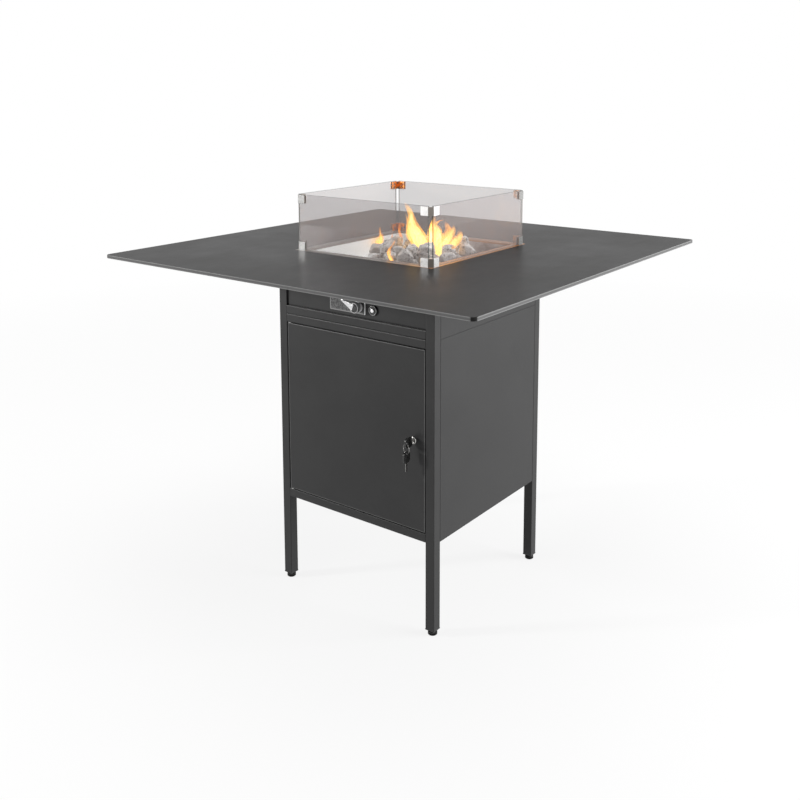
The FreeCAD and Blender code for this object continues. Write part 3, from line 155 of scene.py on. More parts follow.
FLOOR_REACH = 60
UNDER_FEET = 0.0005
ground = bmesh.new()
bmesh.ops.create_grid(ground, x_segments=2, y_segments=2, size=FLOOR_REACH)
bmesh.ops.translate(ground, verts=ground.verts, vec=(0, 0, -UNDER_FEET))
ground_mesh = bpy.data.meshes.new("floor")
ground.to_mesh(ground_mesh)
floor = bpy.data.objects.new("floor", ground_mesh)
bpy.context.scene.collection.objects.link(floor)
floor_paint = Finish(bpy.data.materials.new("floor_paint"))
floor_paint.clear()
spot = floor_paint.node("ShaderNodeTexCoord", None, None, "Object")
away = floor_paint.node("ShaderNodeVectorMath", {"operation": "LENGTH"}, {0: spot}, "Value")
fade = floor_paint.node("ShaderNodeMapRange", None, {0: away, 1: 1.0, 2: 5.0, 3: 0.84, 4: 1.0})
matt = floor_paint.node("ShaderNodeBsdfDiffuse", None, {"Color": (0.74, 0.74, 0.74, 1)})
glow = floor_paint.node("ShaderNodeEmission", None, {"Color": (1, 1, 1, 1), "Strength": 1.0})
pale = seen_directly(floor_paint) * fade
floor_paint.surface(floor_paint.node("ShaderNodeMixShader", None, {0: pale, 1: matt, 2: glow}))
ground_mesh.materials.append(floor_paint.owner)

# Place and side in metres, power in watts, and colour
SOFTBOXES = {
    "softbox_left": ((-3.4, -3.6, 1.85), 0.5, 178, (1, 0.99, 0.98)),
    "softbox_right": ((4.6, 2.2, 1.6), 3.0, 360, (1, 1, 1)),
    "softbox_top": ((0.2, 0.4, 4.4), 3.2, 115, (1, 1, 1)),
}
AIMED_AT = Vector((0, 0, 0.7))
for name, (place, side, power, tint) in SOFTBOXES.items():
    lamp = bpy.data.lights.new(name, "AREA")
    lamp.size = side
    lamp.energy = power
    lamp.color = tint
    softbox = bpy.data.objects.new(name, lamp)
    softbox.location = place
    softbox.rotation_euler = (AIMED_AT - Vector(place)).to_track_quat("-Z", "Y").to_euler()
    bpy.context.scene.collection.objects.link(softbox)


# Levelling feet
# Four ribbed rubber feet, each on a threaded stem that turns in the cap of its leg. They are scuffed and a
# little dusty where they meet the ground.
class Coat(Finish):
    """A finish made with one surface shader, whose constants are set here."""

    def __init__(self, name, **constants):
        super().__init__(bpy.data.materials.new(name))
        self.shader = self.tree.nodes["Principled BSDF"]
        for socket, number in constants.items():
            self.shader.inputs[socket.replace("_", " ")].default_value = number
        self.where = self.node("ShaderNodeTexCoord", None, None, "Object")

    def grain(self, size, detail=2.0, rough=0.5, stretch=(1, 1, 1)):
        """Cloudy noise from 0 to 1 whose patches are about size metres wide."""
        place = self.node("ShaderNodeMapping", None, {"Vector": self.where, "Scale": stretch})
        return self.node("ShaderNodeTexNoise", None,
                         {"Vector": place, "Scale": 1 / size, "Detail": detail, "Roughness": rough})

    def axis(self, letter):
        """How far along X, Y or Z the surface lies, in metres."""
        return self.node("ShaderNodeSeparateXYZ", None, {0: self.where}, letter)

    def between(self, value, low, high, start=0.0, end=1.0):
        """Value mapped from low..high to start..end, held at both ends."""
        return self.node("ShaderNodeMapRange", None, {0: value, 1: low, 2: high, 3: start, 4: end})

    def size_of(self, value):
        return self.node("ShaderNodeMath", {"operation": "ABSOLUTE"}, {0: value})

    def larger(self, first, second):
        return self.node("ShaderNodeMath", {"operation": "MAXIMUM"}, {0: first, 1: second})

    def blend(self, share, first, second):
        """A colour between two colours."""
        return self.node("ShaderNodeMix", {"data_type": "RGBA"}, {0: share, 6: first, 7: second}, 2)

    def raised(self, height, depth, strength=1.0):
        """A bump of the given depth in metres."""
        return self.node("ShaderNodeBump", None, {"Height": height, "Distance": depth, "Strength": strength})

    def show(self, **links):
        for socket, reading in links.items():
            self.feed(self.shader.inputs[socket.replace("_", " ")], reading)
        return self.owner


def dress(material, *nodes):
    """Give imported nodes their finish."""
    for node in nodes:
        mesh = frame["nodes"][node].data
        if not mesh.materials:
            mesh.materials.append(material)
        for slot in frame["nodes"][node].material_slots:
            slot.material = material


# Corners closer than this in metres are one corner, and faces this level in radians are one face
SAME_PLACE = 0.00002
FLAT = 0.01


def copied(node):
    """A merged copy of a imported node's mesh."""
    shape = bmesh.new()
    shape.from_mesh(frame["nodes"][node].data)
    bmesh.ops.remove_doubles(shape, verts=shape.verts, dist=SAME_PLACE)
    return shape


def soften(shape, width, segments=3, angle=35):
    """Flatten loose triangles into whole faces and round the sharp edges over."""
    bmesh.ops.dissolve_limit(shape, angle_limit=FLAT, verts=shape.verts, edges=shape.edges)
    sharp = [edge for edge in shape.edges
             if edge.is_manifold and edge.calc_face_angle() > math.radians(angle)]
    bmesh.ops.bevel(shape, geom=sharp, offset=width, offset_type="OFFSET", segments=segments, profile=0.5,
                    affect="EDGES", material=-1, clamp_overlap=True)
    return shape


def finished(shape, name, material, slot, body, *nodes, smooth=40):
    """Turn a bmesh into a piece that rides on a body and stands for some nodes."""
    mesh = bpy.data.meshes.new(name)
    shape.to_mesh(mesh)
    shape.free()
    mesh.materials.append(material)
    mesh.shade_smooth()
    mesh.set_sharp_from_angle(angle=math.radians(smooth))
    piece = bpy.data.objects.new(name, mesh)
    bpy.context.scene.collection.objects.link(piece)
    if smooth < 90:
        piece.modifiers.new("even_shading", "WEIGHTED_NORMAL").keep_sharp = True
    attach(piece, body)
    if nodes:
        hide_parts(*nodes)
    return piece


rubber = Coat("foot_rubber", Specular_IOR_Level=0.3)
scuff = rubber.grain(0.006, 4, 0.65)
worn = rubber.between(rubber.axis("Z"), 0.0, 0.006, 1.0, 0.0) * scuff
rubber.show(
    Base_Color=rubber.blend(worn * 0.6 + scuff * 0.15, (0.012, 0.012, 0.012, 1), (0.08, 0.076, 0.07, 1)),
    Roughness=rubber.between(scuff, 0.3, 0.7, 0.5, 0.7),
    Normal=rubber.raised(scuff, 0.0002, 0.5))
PAD_HIGH, PAD_INSIDE = 0.009, 0.012
RIB_EASE, RIB_DEEP = 0.0004, 0.0007
for corner in ("front_left", "front_right", "rear_left", "rear_right"):
    node = "foot_" + corner
    low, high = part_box(node)
    stem = ((low + high) / 2).xy
    foot = copied(node)
    bmesh.ops.dissolve_limit(foot, angle_limit=FLAT, verts=foot.verts, edges=foot.edges)
    grips = [face for face in foot.faces
             if abs(face.normal.z) < 0.1 and face.calc_center_median().z < PAD_HIGH
             and (face.calc_center_median().xy - stem).length > PAD_INSIDE]
    bmesh.ops.inset_individual(foot, faces=grips, thickness=RIB_EASE, depth=-RIB_DEEP)
    finished(foot, "levelling_" + node, rubber.owner, "foot_rubber", node, node, smooth=30)

# Leg caps, hinge bushes
# Injection-moulded nylon, ribbed inside the leg ends and flanged in the door. It has a fine spark-eroded
# texture and flow marks from the mould.
nylon = Coat("black_plastic", Specular_IOR_Level=0.4)
flow = nylon.grain(0.02, 3)
nylon.show(
    Base_Color=nylon.blend(flow, (0.010, 0.010, 0.010, 1), (0.022, 0.022, 0.023, 1)),
    Roughness=nylon.between(flow, 0.3, 0.7, 0.3, 0.44),
    Normal=nylon.raised(nylon.grain(0.0006, 2), 0.00003, 0.5))
dress(nylon.owner, "leg_caps", "hinge_bushes")


# Cabinet, burner box and door
# Welded square tube and folded sheet steel, powder coated in a satin black. The coat has a fine orange
# peel and is a little duller in patches. Painted highlights run along the rails' tops and round the door's
# rim, and painted shade darkens the foot of the rails and fascia and the door's very edge.
def powder_coat(name, arris_highlight=None, seam_shade=None):
    """The satin black coat. The first mask marks a painted edge highlight, the second painted seam shade."""
    paint = Coat(name, Specular_IOR_Level=0.24)
    peel = paint.grain(0.0013, 1.5)
    haze = paint.grain(0.16, 4, 0.6)
    rub = paint.grain(0.018, 4, 0.7)
    colour = paint.blend(haze * 0.7 + rub * 0.3, (0.0170, 0.0170, 0.0175, 1), (0.0300, 0.0300, 0.0300, 1))
    if arris_highlight:
        # Painted highlight: a pale line along the arris
        colour = paint.blend(arris_highlight(paint) * (0.6 + rub * 0.6), colour, (0.13, 0.13, 0.13, 1))
    if seam_shade:
        # Painted shade: a near-black line in the seam
        colour = paint.blend(seam_shade(paint), colour, (0.002, 0.002, 0.002, 1))
    return paint.show(
        Base_Color=colour,
        Roughness=paint.between(haze, 0.3, 0.7, 0.35, 0.45) + rub * 0.05,
        Normal=paint.raised(peel, 0.00006, 0.6))


dress(powder_coat("black_paint"), "leg_front_left", "leg_front_right", "leg_rear_left", "leg_rear_right",
      "bottom_rails", "cabinet_floor", "side_panel_left", "side_panel_right", "back_panel", "box_posts",
      "box_top_rails", "box_panel_left", "box_panel_right", "box_panel_rear", "door_stop")
# Where each painted highlight line and painted shade line starts and ends, in metres up from its edge
# or out over the door's outline
RAIL_HIGHLIGHT, RAIL_SEAM_SHADE, FASCIA_SEAM_SHADE = (-0.0022, -0.0012), (0.0034, 0.0024), (0.0050, 0.0030)
DOOR_HIGHLIGHT, DOOR_EDGE_SHADE = (-0.0030, -0.0016), (-0.0005, -0.0002)


def band(paint, height, line):
    """A level line at a height, fading in between the two ends of line."""
    return paint.between(paint.axis("Z"), height + line[0], height + line[1])


# Each rail gets a painted highlight just below its top and painted shade along its foot
for node in ("top_rails", "box_bottom_rails"):
    bottom, top = (corner.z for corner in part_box(node))
    dress(powder_coat(node + "_paint", lambda paint: band(paint, top, RAIL_HIGHLIGHT),
                      lambda paint: band(paint, bottom, RAIL_SEAM_SHADE)), node)
# The fascia gets painted shade along its foot
foot_of_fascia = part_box("box_bottom_rails")[1].z
dress(powder_coat("fascia_paint", None, lambda paint: band(paint, foot_of_fascia, FASCIA_SEAM_SHADE)),
      "control_fascia")


def past_outline(coat, node):
    """How far past a node's outline seen from the front, so less than 0 inside it, in metres."""
    low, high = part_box(node)
    across = coat.size_of(coat.axis("X") - (low.x + high.x) / 2) - (high.x - low.x) / 2
    upward = coat.size_of(coat.axis("Z") - (low.z + high.z) / 2) - (high.z - low.z) / 2
    return coat.larger(across, upward)


# The door gets a painted highlight just inside its rim and painted shade on its very edge
dress(powder_coat("door_paint", lambda paint: paint.between(past_outline(paint, "door_panel"), *DOOR_HIGHLIGHT),
                  lambda paint: paint.between(past_outline(paint, "door_panel"), *DOOR_EDGE_SHADE)), "door_panel")

# Heat shield
# Galvanised sheet under the burner box keeps the heat from the gas bottle. Zinc crystals show as faint
# angular patches of differing grey.
zinc_sheet = Coat("galvanised", Metallic=1.0)
spangle = zinc_sheet.node("ShaderNodeTexVoronoi", None, {"Vector": zinc_sheet.where, "Scale": 90.0}, "Color")
patch = zinc_sheet.node("ShaderNodeSeparateColor", None, {0: spangle}, 0)
zinc_sheet.show(
    Base_Color=zinc_sheet.blend(patch, (0.42, 0.43, 0.44, 1), (0.6, 0.61, 0.62, 1)),
    Roughness=zinc_sheet.between(patch, 0.0, 1.0, 0.3, 0.48),
    Normal=zinc_sheet.raised(zinc_sheet.grain(0.004, 3), 0.00008, 0.4))
dress(zinc_sheet.owner, "heat_shield")

# Plated fasteners, lock works and valve works
# Screws, bolts, pins, the lock's nut and cam, and the valve's rotor and spindle are zinc-plated steel with
# a dull grey sheen and slight stains.
zinc = Coat("zinc_steel", Metallic=1.0)
stain = zinc.grain(0.005, 4, 0.6)
zinc.show(
    Base_Color=zinc.blend(stain, (0.42, 0.42, 0.41, 1), (0.66, 0.66, 0.65, 1)),
    Roughness=zinc.between(stain, 0.3, 0.7, 0.26, 0.42),
    Normal=zinc.raised(zinc.grain(0.0005, 2), 0.00002, 0.5))
dress(zinc.owner, "hinge_pins", "tabletop_screws", "box_bolts", "guard_grub_screws", "lock_nut", "lock_cam",
      "valve_rotor", "valve_spindle")

# Door lock
# The barrel's bezel and the plug are nickel-plated brass, bright, with fine scratches from the key. The
# bezel's rim is rounded over, and the keyway stands upright.
nickel = Coat("nickel_steel", Metallic=1.0)
scratch = nickel.grain(0.0004, 3, 0.6, (1, 1, 0.12))
wear = nickel.grain(0.006, 3)
nickel.show(
    Base_Color=nickel.blend(wear, (0.46, 0.45, 0.43, 1), (0.74, 0.73, 0.71, 1)),
    Roughness=nickel.between(scratch, 0.35, 0.65, 0.14, 0.3),
    Normal=nickel.raised(scratch, 0.00001, 0.4))
BEZEL_ROUND, PLUG_ROUND = 0.0007, 0.0003
finished(soften(copied("lock_barrel"), BEZEL_ROUND), "lock_bezel", nickel.owner, "nickel_steel", "door",
         "lock_barrel")
finished(soften(copied("lock_plug"), PLUG_ROUND, 2), "lock_core_plug", nickel.owner, "nickel_steel",
         "lock_core", "lock_plug")

# Keys and ring
# Two flat keys, each a cut nickel-plated blade with a bow moulded over it in black plastic. One is in the
# lock, and the spare hangs from it on a plated wire ring. The bows are soft-edged with a sunk face.
bow_plastic = Coat("key_bow_plastic", Specular_IOR_Level=0.55)
rubbed = bow_plastic.grain(0.007, 4, 0.6)
bow_plastic.show(
    Base_Color=bow_plastic.blend(rubbed, (0.006, 0.006, 0.006, 1), (0.018, 0.018, 0.018, 1)),
    Roughness=bow_plastic.between(rubbed, 0.3, 0.7, 0.2, 0.36),
    Normal=bow_plastic.raised(bow_plastic.grain(0.0008, 2), 0.00002, 0.5))
BOW_ROUND = 0.0008
CHEEK_RIM, CHEEK_SUNK = 0.0014, 0.0005
for node, body in (("key_bow", "key"), ("spare_key_bow", "spare_key")):
    bow = soften(copied(node), BOW_ROUND, angle=50)
    cheeks = [face for face in bow.faces if abs(face.normal.x) > 0.999]
    bmesh.ops.inset_region(bow, faces=cheeks, thickness=CHEEK_RIM, depth=-CHEEK_SUNK)
    finished(bow, node + "_moulding", bow_plastic.owner, "black_plastic", body, node)
ring_wire = Coat("ring_wire", Metallic=1.0)
dulled = ring_wire.grain(0.004, 3, 0.6)
ring_wire.show(
    Base_Color=ring_wire.blend(dulled, (0.16, 0.16, 0.155, 1), (0.42, 0.41, 0.40, 1)),
    Roughness=ring_wire.between(dulled, 0.3, 0.7, 0.12, 0.3),
    Normal=ring_wire.raised(dulled, 0.00002, 0.4))
dress(ring_wire.owner, "key_blade", "spare_key_blade")
finished(copied("key_ring"), "key_ring_wire", ring_wire.owner, "nickel_steel", "ring", "key_ring", smooth=90)

# Control plate
# A sheet steel plate round the knob with a speckled dark texture and a thin bare border, where the valve's
# settings would be marked. The border's right end is a painted highlight, nearly white. It is held by the
# valve's nose.
plate = Coat("control_plate", Specular_IOR_Level=0.4)
fleck = plate.grain(0.0055, 4, 0.75)
BARE_RIM, BARE_RIM_FADE = 0.0032, 0.0003
HIGHLIGHT_FROM, HIGHLIGHT_FULL = 0.0036, 0.0030
border = plate.between(past_outline(plate, "control_plate"), -BARE_RIM, BARE_RIM_FADE - BARE_RIM)
plate_colour = plate.blend(
    plate.between(fleck, 0.38, 0.62), (0.018, 0.018, 0.019, 1), (0.125, 0.125, 0.125, 1))
right_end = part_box("control_plate")[1].x
# Painted highlight: the border turns nearly white at the plate's right end
painted_right_highlight = plate.between(plate.axis("X"), right_end - HIGHLIGHT_FROM, right_end - HIGHLIGHT_FULL)
bare_rim_and_highlight = plate.blend(painted_right_highlight, (0.20, 0.20, 0.20, 1), (0.86, 0.86, 0.86, 1))
plate.show(
    Base_Color=plate.blend(border, plate_colour, bare_rim_and_highlight),
    Metallic=border * 0.3,
    Roughness=plate.between(fleck, 0.3, 0.7, 0.35, 0.55),
    Normal=plate.raised(fleck * (1 - border), 0.0002, 0.5))
PLATE_ROUND = 0.0004
finished(soften(copied("control_plate"), PLATE_ROUND, 2), "control_plate_face", plate.owner, "black_paint",
         "table", "control_plate")

# Gas knob
# A die-cast knob pressed on the valve's spindle: a chrome skirt behind, a fluted satin drum, and a long
# tapered lever across its front that shows the setting. It turns with the spindle and pushes in.
chrome = Coat("chrome_trim", Metallic=1.0)
film = chrome.grain(0.02, 3)
chrome.show(
    Base_Color=chrome.blend(film, (0.70, 0.70, 0.71, 1), (0.90, 0.90, 0.90, 1)),
    Roughness=chrome.between(film, 0.3, 0.7, 0.12, 0.24),
    Normal=chrome.raised(chrome.grain(0.004, 2), 0.00002, 0.3))
satin = Coat("satin_casting", Metallic=0.35)
cast = satin.grain(0.0015, 3, 0.6)
satin.show(
    Base_Color=satin.blend(cast, (0.30, 0.30, 0.305, 1), (0.46, 0.46, 0.46, 1)),
    Roughness=satin.between(cast, 0.3, 0.7, 0.3, 0.46),
    Normal=satin.raised(cast, 0.00005, 0.5))
silver = Coat("silver_lacquer", Metallic=0.45)
shade = silver.grain(0.006, 3)
silver.show(
    Base_Color=silver.blend(shade, (0.56, 0.56, 0.57, 1), (0.80, 0.80, 0.80, 1)),
    Roughness=silver.between(shade, 0.3, 0.7, 0.18, 0.3),
    Normal=silver.raised(silver.grain(0.003, 2), 0.00002, 0.3))
AXIS_X, _, AXIS_Z = next(joint["pos_m"] for joint in frame["joints"] if joint["name"] == "knob_turn")
KNOB_FRONT, KNOB_BACK = (corner.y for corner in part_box("control_knob"))
SKIRT_RADIUS, SKIRT_LONG, SKIRT_WALL = 0.0160, 0.0060, 0.0040
SKIRT_HOLLOW, SKIRT_DRAFT, SKIRT_ROUND = 0.0050, 0.0002, 0.0008
DRUM_RADIUS, DRUM_START, DRUM_SHORT = 0.0150, 0.0058, 0.0012
FLUTES, FLUTE_RIM, FLUTE_DEEP = 40, 0.0003, 0.0008
HUB_RADIUS, HUB_TOP_RADIUS, HUB_LONG = 0.0132, 0.0120, 0.0014
LEVER_START, LEVER_LONG, LEVER_ANGLE = 0.0030, 0.0495, 160
LEVER_BEHIND_FRONT, LEVER_ROUND = 0.0050, 0.0012
LEVER_HALF_WIDE, LEVER_NARROWS = 0.0105, 0.0092
LEVER_HALF_DEEP, LEVER_THINS = 0.0052, 0.0022


def facing_front(shape, radius, back, front, segments, end_radius=None):
    """A turned disc or cone on the knob's axis, from back to front."""
    made = bmesh.ops.create_cone(shape, cap_ends=True, segments=segments, radius1=radius,
                                 radius2=end_radius or radius, depth=back - front)
    bmesh.ops.rotate(shape, verts=made["verts"], matrix=Matrix.Rotation(math.pi / 2, 3, "X"))
    bmesh.ops.translate(shape, verts=made["verts"], vec=(AXIS_X, (back + front) / 2, AXIS_Z))
    return made["verts"]


skirt = bmesh.new()
facing_front(skirt, SKIRT_RADIUS, KNOB_BACK, KNOB_BACK - SKIRT_LONG, 72)
mouth = [face for face in skirt.faces if face.normal.y > 0.9]
bmesh.ops.inset_region(skirt, faces=mouth, thickness=SKIRT_WALL)
bmesh.ops.inset_region(skirt, faces=mouth, thickness=SKIRT_DRAFT, depth=-SKIRT_HOLLOW)
finished(soften(skirt, SKIRT_ROUND), "knob_skirt_ring", silver.owner, "chrome_trim", "knob", "control_knob")

drum = bmesh.new()
facing_front(drum, DRUM_RADIUS, KNOB_BACK - DRUM_START, KNOB_FRONT + DRUM_SHORT, FLUTES)
flutes = [face for face in drum.faces if abs(face.normal.y) < 0.1]
bmesh.ops.inset_individual(drum, faces=flutes, thickness=FLUTE_RIM, depth=-FLUTE_DEEP)
hub = facing_front(drum, HUB_RADIUS, KNOB_FRONT + HUB_LONG, KNOB_FRONT, 60, HUB_TOP_RADIUS)
for face in {face for vert in hub for face in vert.link_faces}:
    face.material_index = 1
fluted_drum = finished(
    drum, "knob_fluted_drum", satin.owner, "chrome_trim", "knob", "control_knob", smooth=30)
fluted_drum.data.materials.append(bow_plastic.owner)

lever = bmesh.new()
bmesh.ops.create_cube(lever, size=1)
lengthwise = [edge for edge in lever.edges if abs(edge.verts[0].co.x - edge.verts[1].co.x) > 0.5]
bmesh.ops.subdivide_edges(lever, edges=lengthwise, cuts=9)
for vert in lever.verts:
    run = vert.co.x + 0.5
    half = LEVER_HALF_WIDE - LEVER_NARROWS * run
    crown = LEVER_HALF_DEEP - LEVER_THINS * run ** 1.5
    vert.co = Vector((LEVER_START + LEVER_LONG * run, 2 * vert.co.y * half, 2 * vert.co.z * crown))
corners = [edge for edge in lever.edges if edge.calc_face_angle() > 0.8]
bmesh.ops.bevel(lever, geom=corners, offset=LEVER_ROUND, offset_type="OFFSET", segments=4, profile=0.5,
                affect="EDGES", material=-1)
upright = Matrix.Rotation(math.pi / 2, 3, "X") @ Matrix.Rotation(math.radians(LEVER_ANGLE), 3, "Z")
bmesh.ops.rotate(lever, verts=lever.verts, matrix=upright)
bmesh.ops.translate(lever, verts=lever.verts, vec=(AXIS_X, KNOB_FRONT + LEVER_BEHIND_FRONT, AXIS_Z))
finished(lever, "knob_long_lever", silver.owner, "chrome_trim", "knob", "control_knob")

# Spark igniter
# A piezo igniter through the fascia. Its nylon case ends in a glossy black collar with a rounded rim, and
# the chrome button in the middle is pushed to make the spark.
COLLAR_ROUND, BUTTON_ROUND = 0.0008, 0.0010
TRIM_RADIUS, TRIM_HALF_WIDE, TRIM_SUNK = 0.0132, 0.0006, 0.0002
finished(soften(copied("igniter_body"), COLLAR_ROUND, 3, 30), "igniter_collar", bow_plastic.owner,
         "black_plastic", "table", "igniter_body")
finished(soften(copied("igniter_button"), BUTTON_ROUND, 4, 30), "igniter_push_cap", chrome.owner,
         "chrome_trim", "button", "igniter_button")
case_low, case_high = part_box("igniter_body")
case_middle = (case_low + case_high) / 2
trim = bmesh.new()
hoop = bmesh.ops.create_circle(trim, segments=10, radius=TRIM_HALF_WIDE)["verts"]
bmesh.ops.translate(trim, verts=hoop, vec=(TRIM_RADIUS, 0, 0))
bmesh.ops.rotate(trim, verts=hoop, matrix=Matrix.Rotation(math.pi / 2, 3, "X"))
bmesh.ops.spin(trim, geom=trim.verts[:] + trim.edges[:], cent=(0, 0, 0), axis=(0, 0, 1), angle=2 * math.pi,
               steps=56, use_merge=True)
bmesh.ops.rotate(trim, verts=trim.verts, matrix=Matrix.Rotation(math.pi / 2, 3, "X"))
bmesh.ops.translate(trim, verts=trim.verts, vec=(case_middle.x, case_low.y + TRIM_SUNK, case_middle.z))
bmesh.ops.recalc_face_normals(trim, faces=trim.faces)
finished(trim, "igniter_trim_ring", satin.owner, "chrome_trim", "table", smooth=90)

# Gas fittings
# The valve body, injector and hose inlet are turned and cast brass, and an 8 mm copper pipe joins valve
# and injector. Both have darkened a little with handling.
brass = Coat("brass_fittings", Metallic=1.0)
tarnish = brass.grain(0.012, 4, 0.6)
brass.show(
    Base_Color=brass.blend(tarnish, (0.42, 0.28, 0.1, 1), (0.76, 0.58, 0.28, 1)),
    Roughness=brass.between(tarnish, 0.3, 0.7, 0.42, 0.24),
    Normal=brass.raised(brass.grain(0.0008, 3), 0.00004, 0.5))
dress(brass.owner, "valve_body", "gas_injector", "gas_inlet")
copper = Coat("copper_pipe", Metallic=1.0)
bloom = copper.grain(0.015, 4, 0.6)
copper.show(
    Base_Color=copper.blend(bloom, (0.36, 0.14, 0.07, 1), (0.78, 0.42, 0.28, 1)),
    Roughness=copper.between(bloom, 0.3, 0.7, 0.4, 0.22),
    Normal=copper.raised(copper.grain(0.001, 2), 0.00003, 0.4))
dress(copper.owner, "gas_pipe")

# Slab
# The tabletop is one compact laminate board, 1.3 m square and 10 mm thick, with a fine matt grain. Its
# eased edge face is paler, with painted highlights along both arrises. Screws hold it to the top rails from
# below.
laminate = Coat("laminate", Specular_IOR_Level=0.038)
cloud = laminate.grain(0.24, 4, 0.6)
speck = laminate.grain(0.0016, 3, 0.7)
smear = laminate.grain(0.05, 5, 0.65, (1, 0.35, 1))
EDGE_FROM, EDGE_FULL = 0.0011, 0.0004
SLAB_HIGHLIGHT_FROM, SLAB_HIGHLIGHT_FULL = 0.0020, 0.0034
slab_low, slab_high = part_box("tabletop")
out_x = laminate.size_of(laminate.axis("X"))
out_y = laminate.size_of(laminate.axis("Y"))
rim = laminate.between(laminate.larger(out_x, out_y), slab_high.x - EDGE_FROM, slab_high.x - EDGE_FULL)
board = laminate.blend(laminate.between(cloud + speck * 0.5 + smear * 0.2, 0.6, 1.1),
                       (0.0125, 0.0125, 0.013, 1), (0.0245, 0.024, 0.0235, 1))
# The edge face is paler, and painted highlights lighten it further towards both arrises
off_middle = laminate.size_of(laminate.axis("Z") - (slab_low.z + slab_high.z) / 2)
edge_with_highlights = laminate.blend(laminate.between(off_middle, SLAB_HIGHLIGHT_FROM, SLAB_HIGHLIGHT_FULL),
                      (0.115, 0.115, 0.115, 1), (0.20, 0.20, 0.20, 1))
laminate.show(
    Base_Color=laminate.blend(rim, board, edge_with_highlights),
    Roughness=laminate.between(cloud + smear * 0.4, 0.4, 0.9, 0.30, 0.40),
    Normal=laminate.raised(speck, 0.00006, 0.4))
dress(laminate.owner, "tabletop")

# Burner tray and burner
# Stainless sheet, folded, welded and brushed one way. Near the fire it is painted straw to brown, which is
# heat tint together with painted firelight, most of all on the side that the flames lean to, and the flange
# there takes a painted orange firelight.
steel = Coat("stainless_sheet", Specular_IOR_Level=0.2)
brush = steel.grain(0.0009, 3, 0.6, (1, 0.05, 0.3))
smoke = steel.grain(0.07, 4, 0.6)
# Heat tint and painted firelight, strongest on the side towards the flames
near_fire = steel.between(steel.axis("X") + steel.axis("Y") * 0.3, 0.0, 0.19)
heat_and_glow = near_fire * steel.between(smoke, 0.25, 0.6, 0.55, 1.0)
FLANGE_FROM, FLANGE_FULL = 0.0060, 0.0050
tray_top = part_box("burner_tray")[1].z
flange = steel.between(steel.axis("Z"), tray_top - FLANGE_FROM, tray_top - FLANGE_FULL)
wall_colour = steel.blend(heat_and_glow * 0.95, (0.94, 0.97, 0.98, 1), (0.12, 0.055, 0.028, 1))
# Painted firelight: the flange turns orange near the fire
flange_colour = steel.blend(near_fire, (0.16, 0.13, 0.115, 1), (0.40, 0.19, 0.085, 1))
steel.show(
    Base_Color=steel.blend(flange * 0.95, wall_colour, flange_colour),
    Metallic=heat_and_glow * (1 - flange) * 0.4 + 0.2,
    Roughness=steel.between(brush, 0.3, 0.7, 0.28, 0.4) + smoke * 0.08,
    Normal=steel.raised(brush, 0.00002, 0.4))
dress(steel.owner, "burner_tray", "burner")

# Spark electrode
# A white glazed ceramic rod with a wire through it, held by its flange under the tray. It stands beside the
# burner and has soot near its tip.
ceramic = Coat("spark_ceramic", Specular_IOR_Level=0.5)
crackle = ceramic.grain(0.004, 4, 0.6)
soot = ceramic.between(ceramic.axis("Z"), 0.99, 1.006) * crackle
ceramic.show(
    Base_Color=ceramic.blend(soot, (0.82, 0.8, 0.75, 1), (0.06, 0.05, 0.045, 1)),
    Roughness=ceramic.between(crackle, 0.3, 0.7, 0.3, 0.5),
    Normal=ceramic.raised(crackle, 0.00004, 0.4))
dress(ceramic.owner, "spark_electrode")

# Lava stones
# Broken lava rock, 45 to 70 mm a piece, porous, pale grey with darker pores and some rusty patches. The
# stones lie loose over the burner, and each is worked up here from its plain solid.
lava = Coat("lava_rock", Specular_IOR_Level=0.2)
pores, fine_pores = (
    lava.node("ShaderNodeTexVoronoi", None, {"Vector": lava.where, "Scale": scale}, "Distance")
    for scale in (90.0, 300.0))
grit = lava.grain(0.003, 4, 0.65)
tone = lava.grain(0.045, 3)
patchy = lava.grain(0.018, 3)
rust = lava.between(lava.grain(0.06, 2), 0.52, 0.68)
pit = lava.larger(lava.between(pores, 0.16, 0.46), lava.between(patchy, 0.42, 0.58)) * lava.between(
    fine_pores, 0.15, 0.4, 0.45, 1.0)
light_grey = lava.blend(
    lava.between(tone + grit * 0.5, 0.5, 1.0), (0.50, 0.475, 0.45, 1), (0.86, 0.84, 0.81, 1))
stone_colour = lava.blend(rust * 0.4, light_grey, (0.50, 0.36, 0.28, 1))
lava.show(
    Base_Color=lava.blend(pit, (0.19, 0.175, 0.165, 1), stone_colour),
    Roughness=lava.between(grit, 0.2, 0.8, 0.8, 0.98),
    Normal=lava.raised(pit + grit * 0.7, 0.0016, 0.9))
SWELL = 1.2
BROKEN_FACES = 15
NEAREST_BREAK, FARTHEST_BREAK = 0.70, 1.0
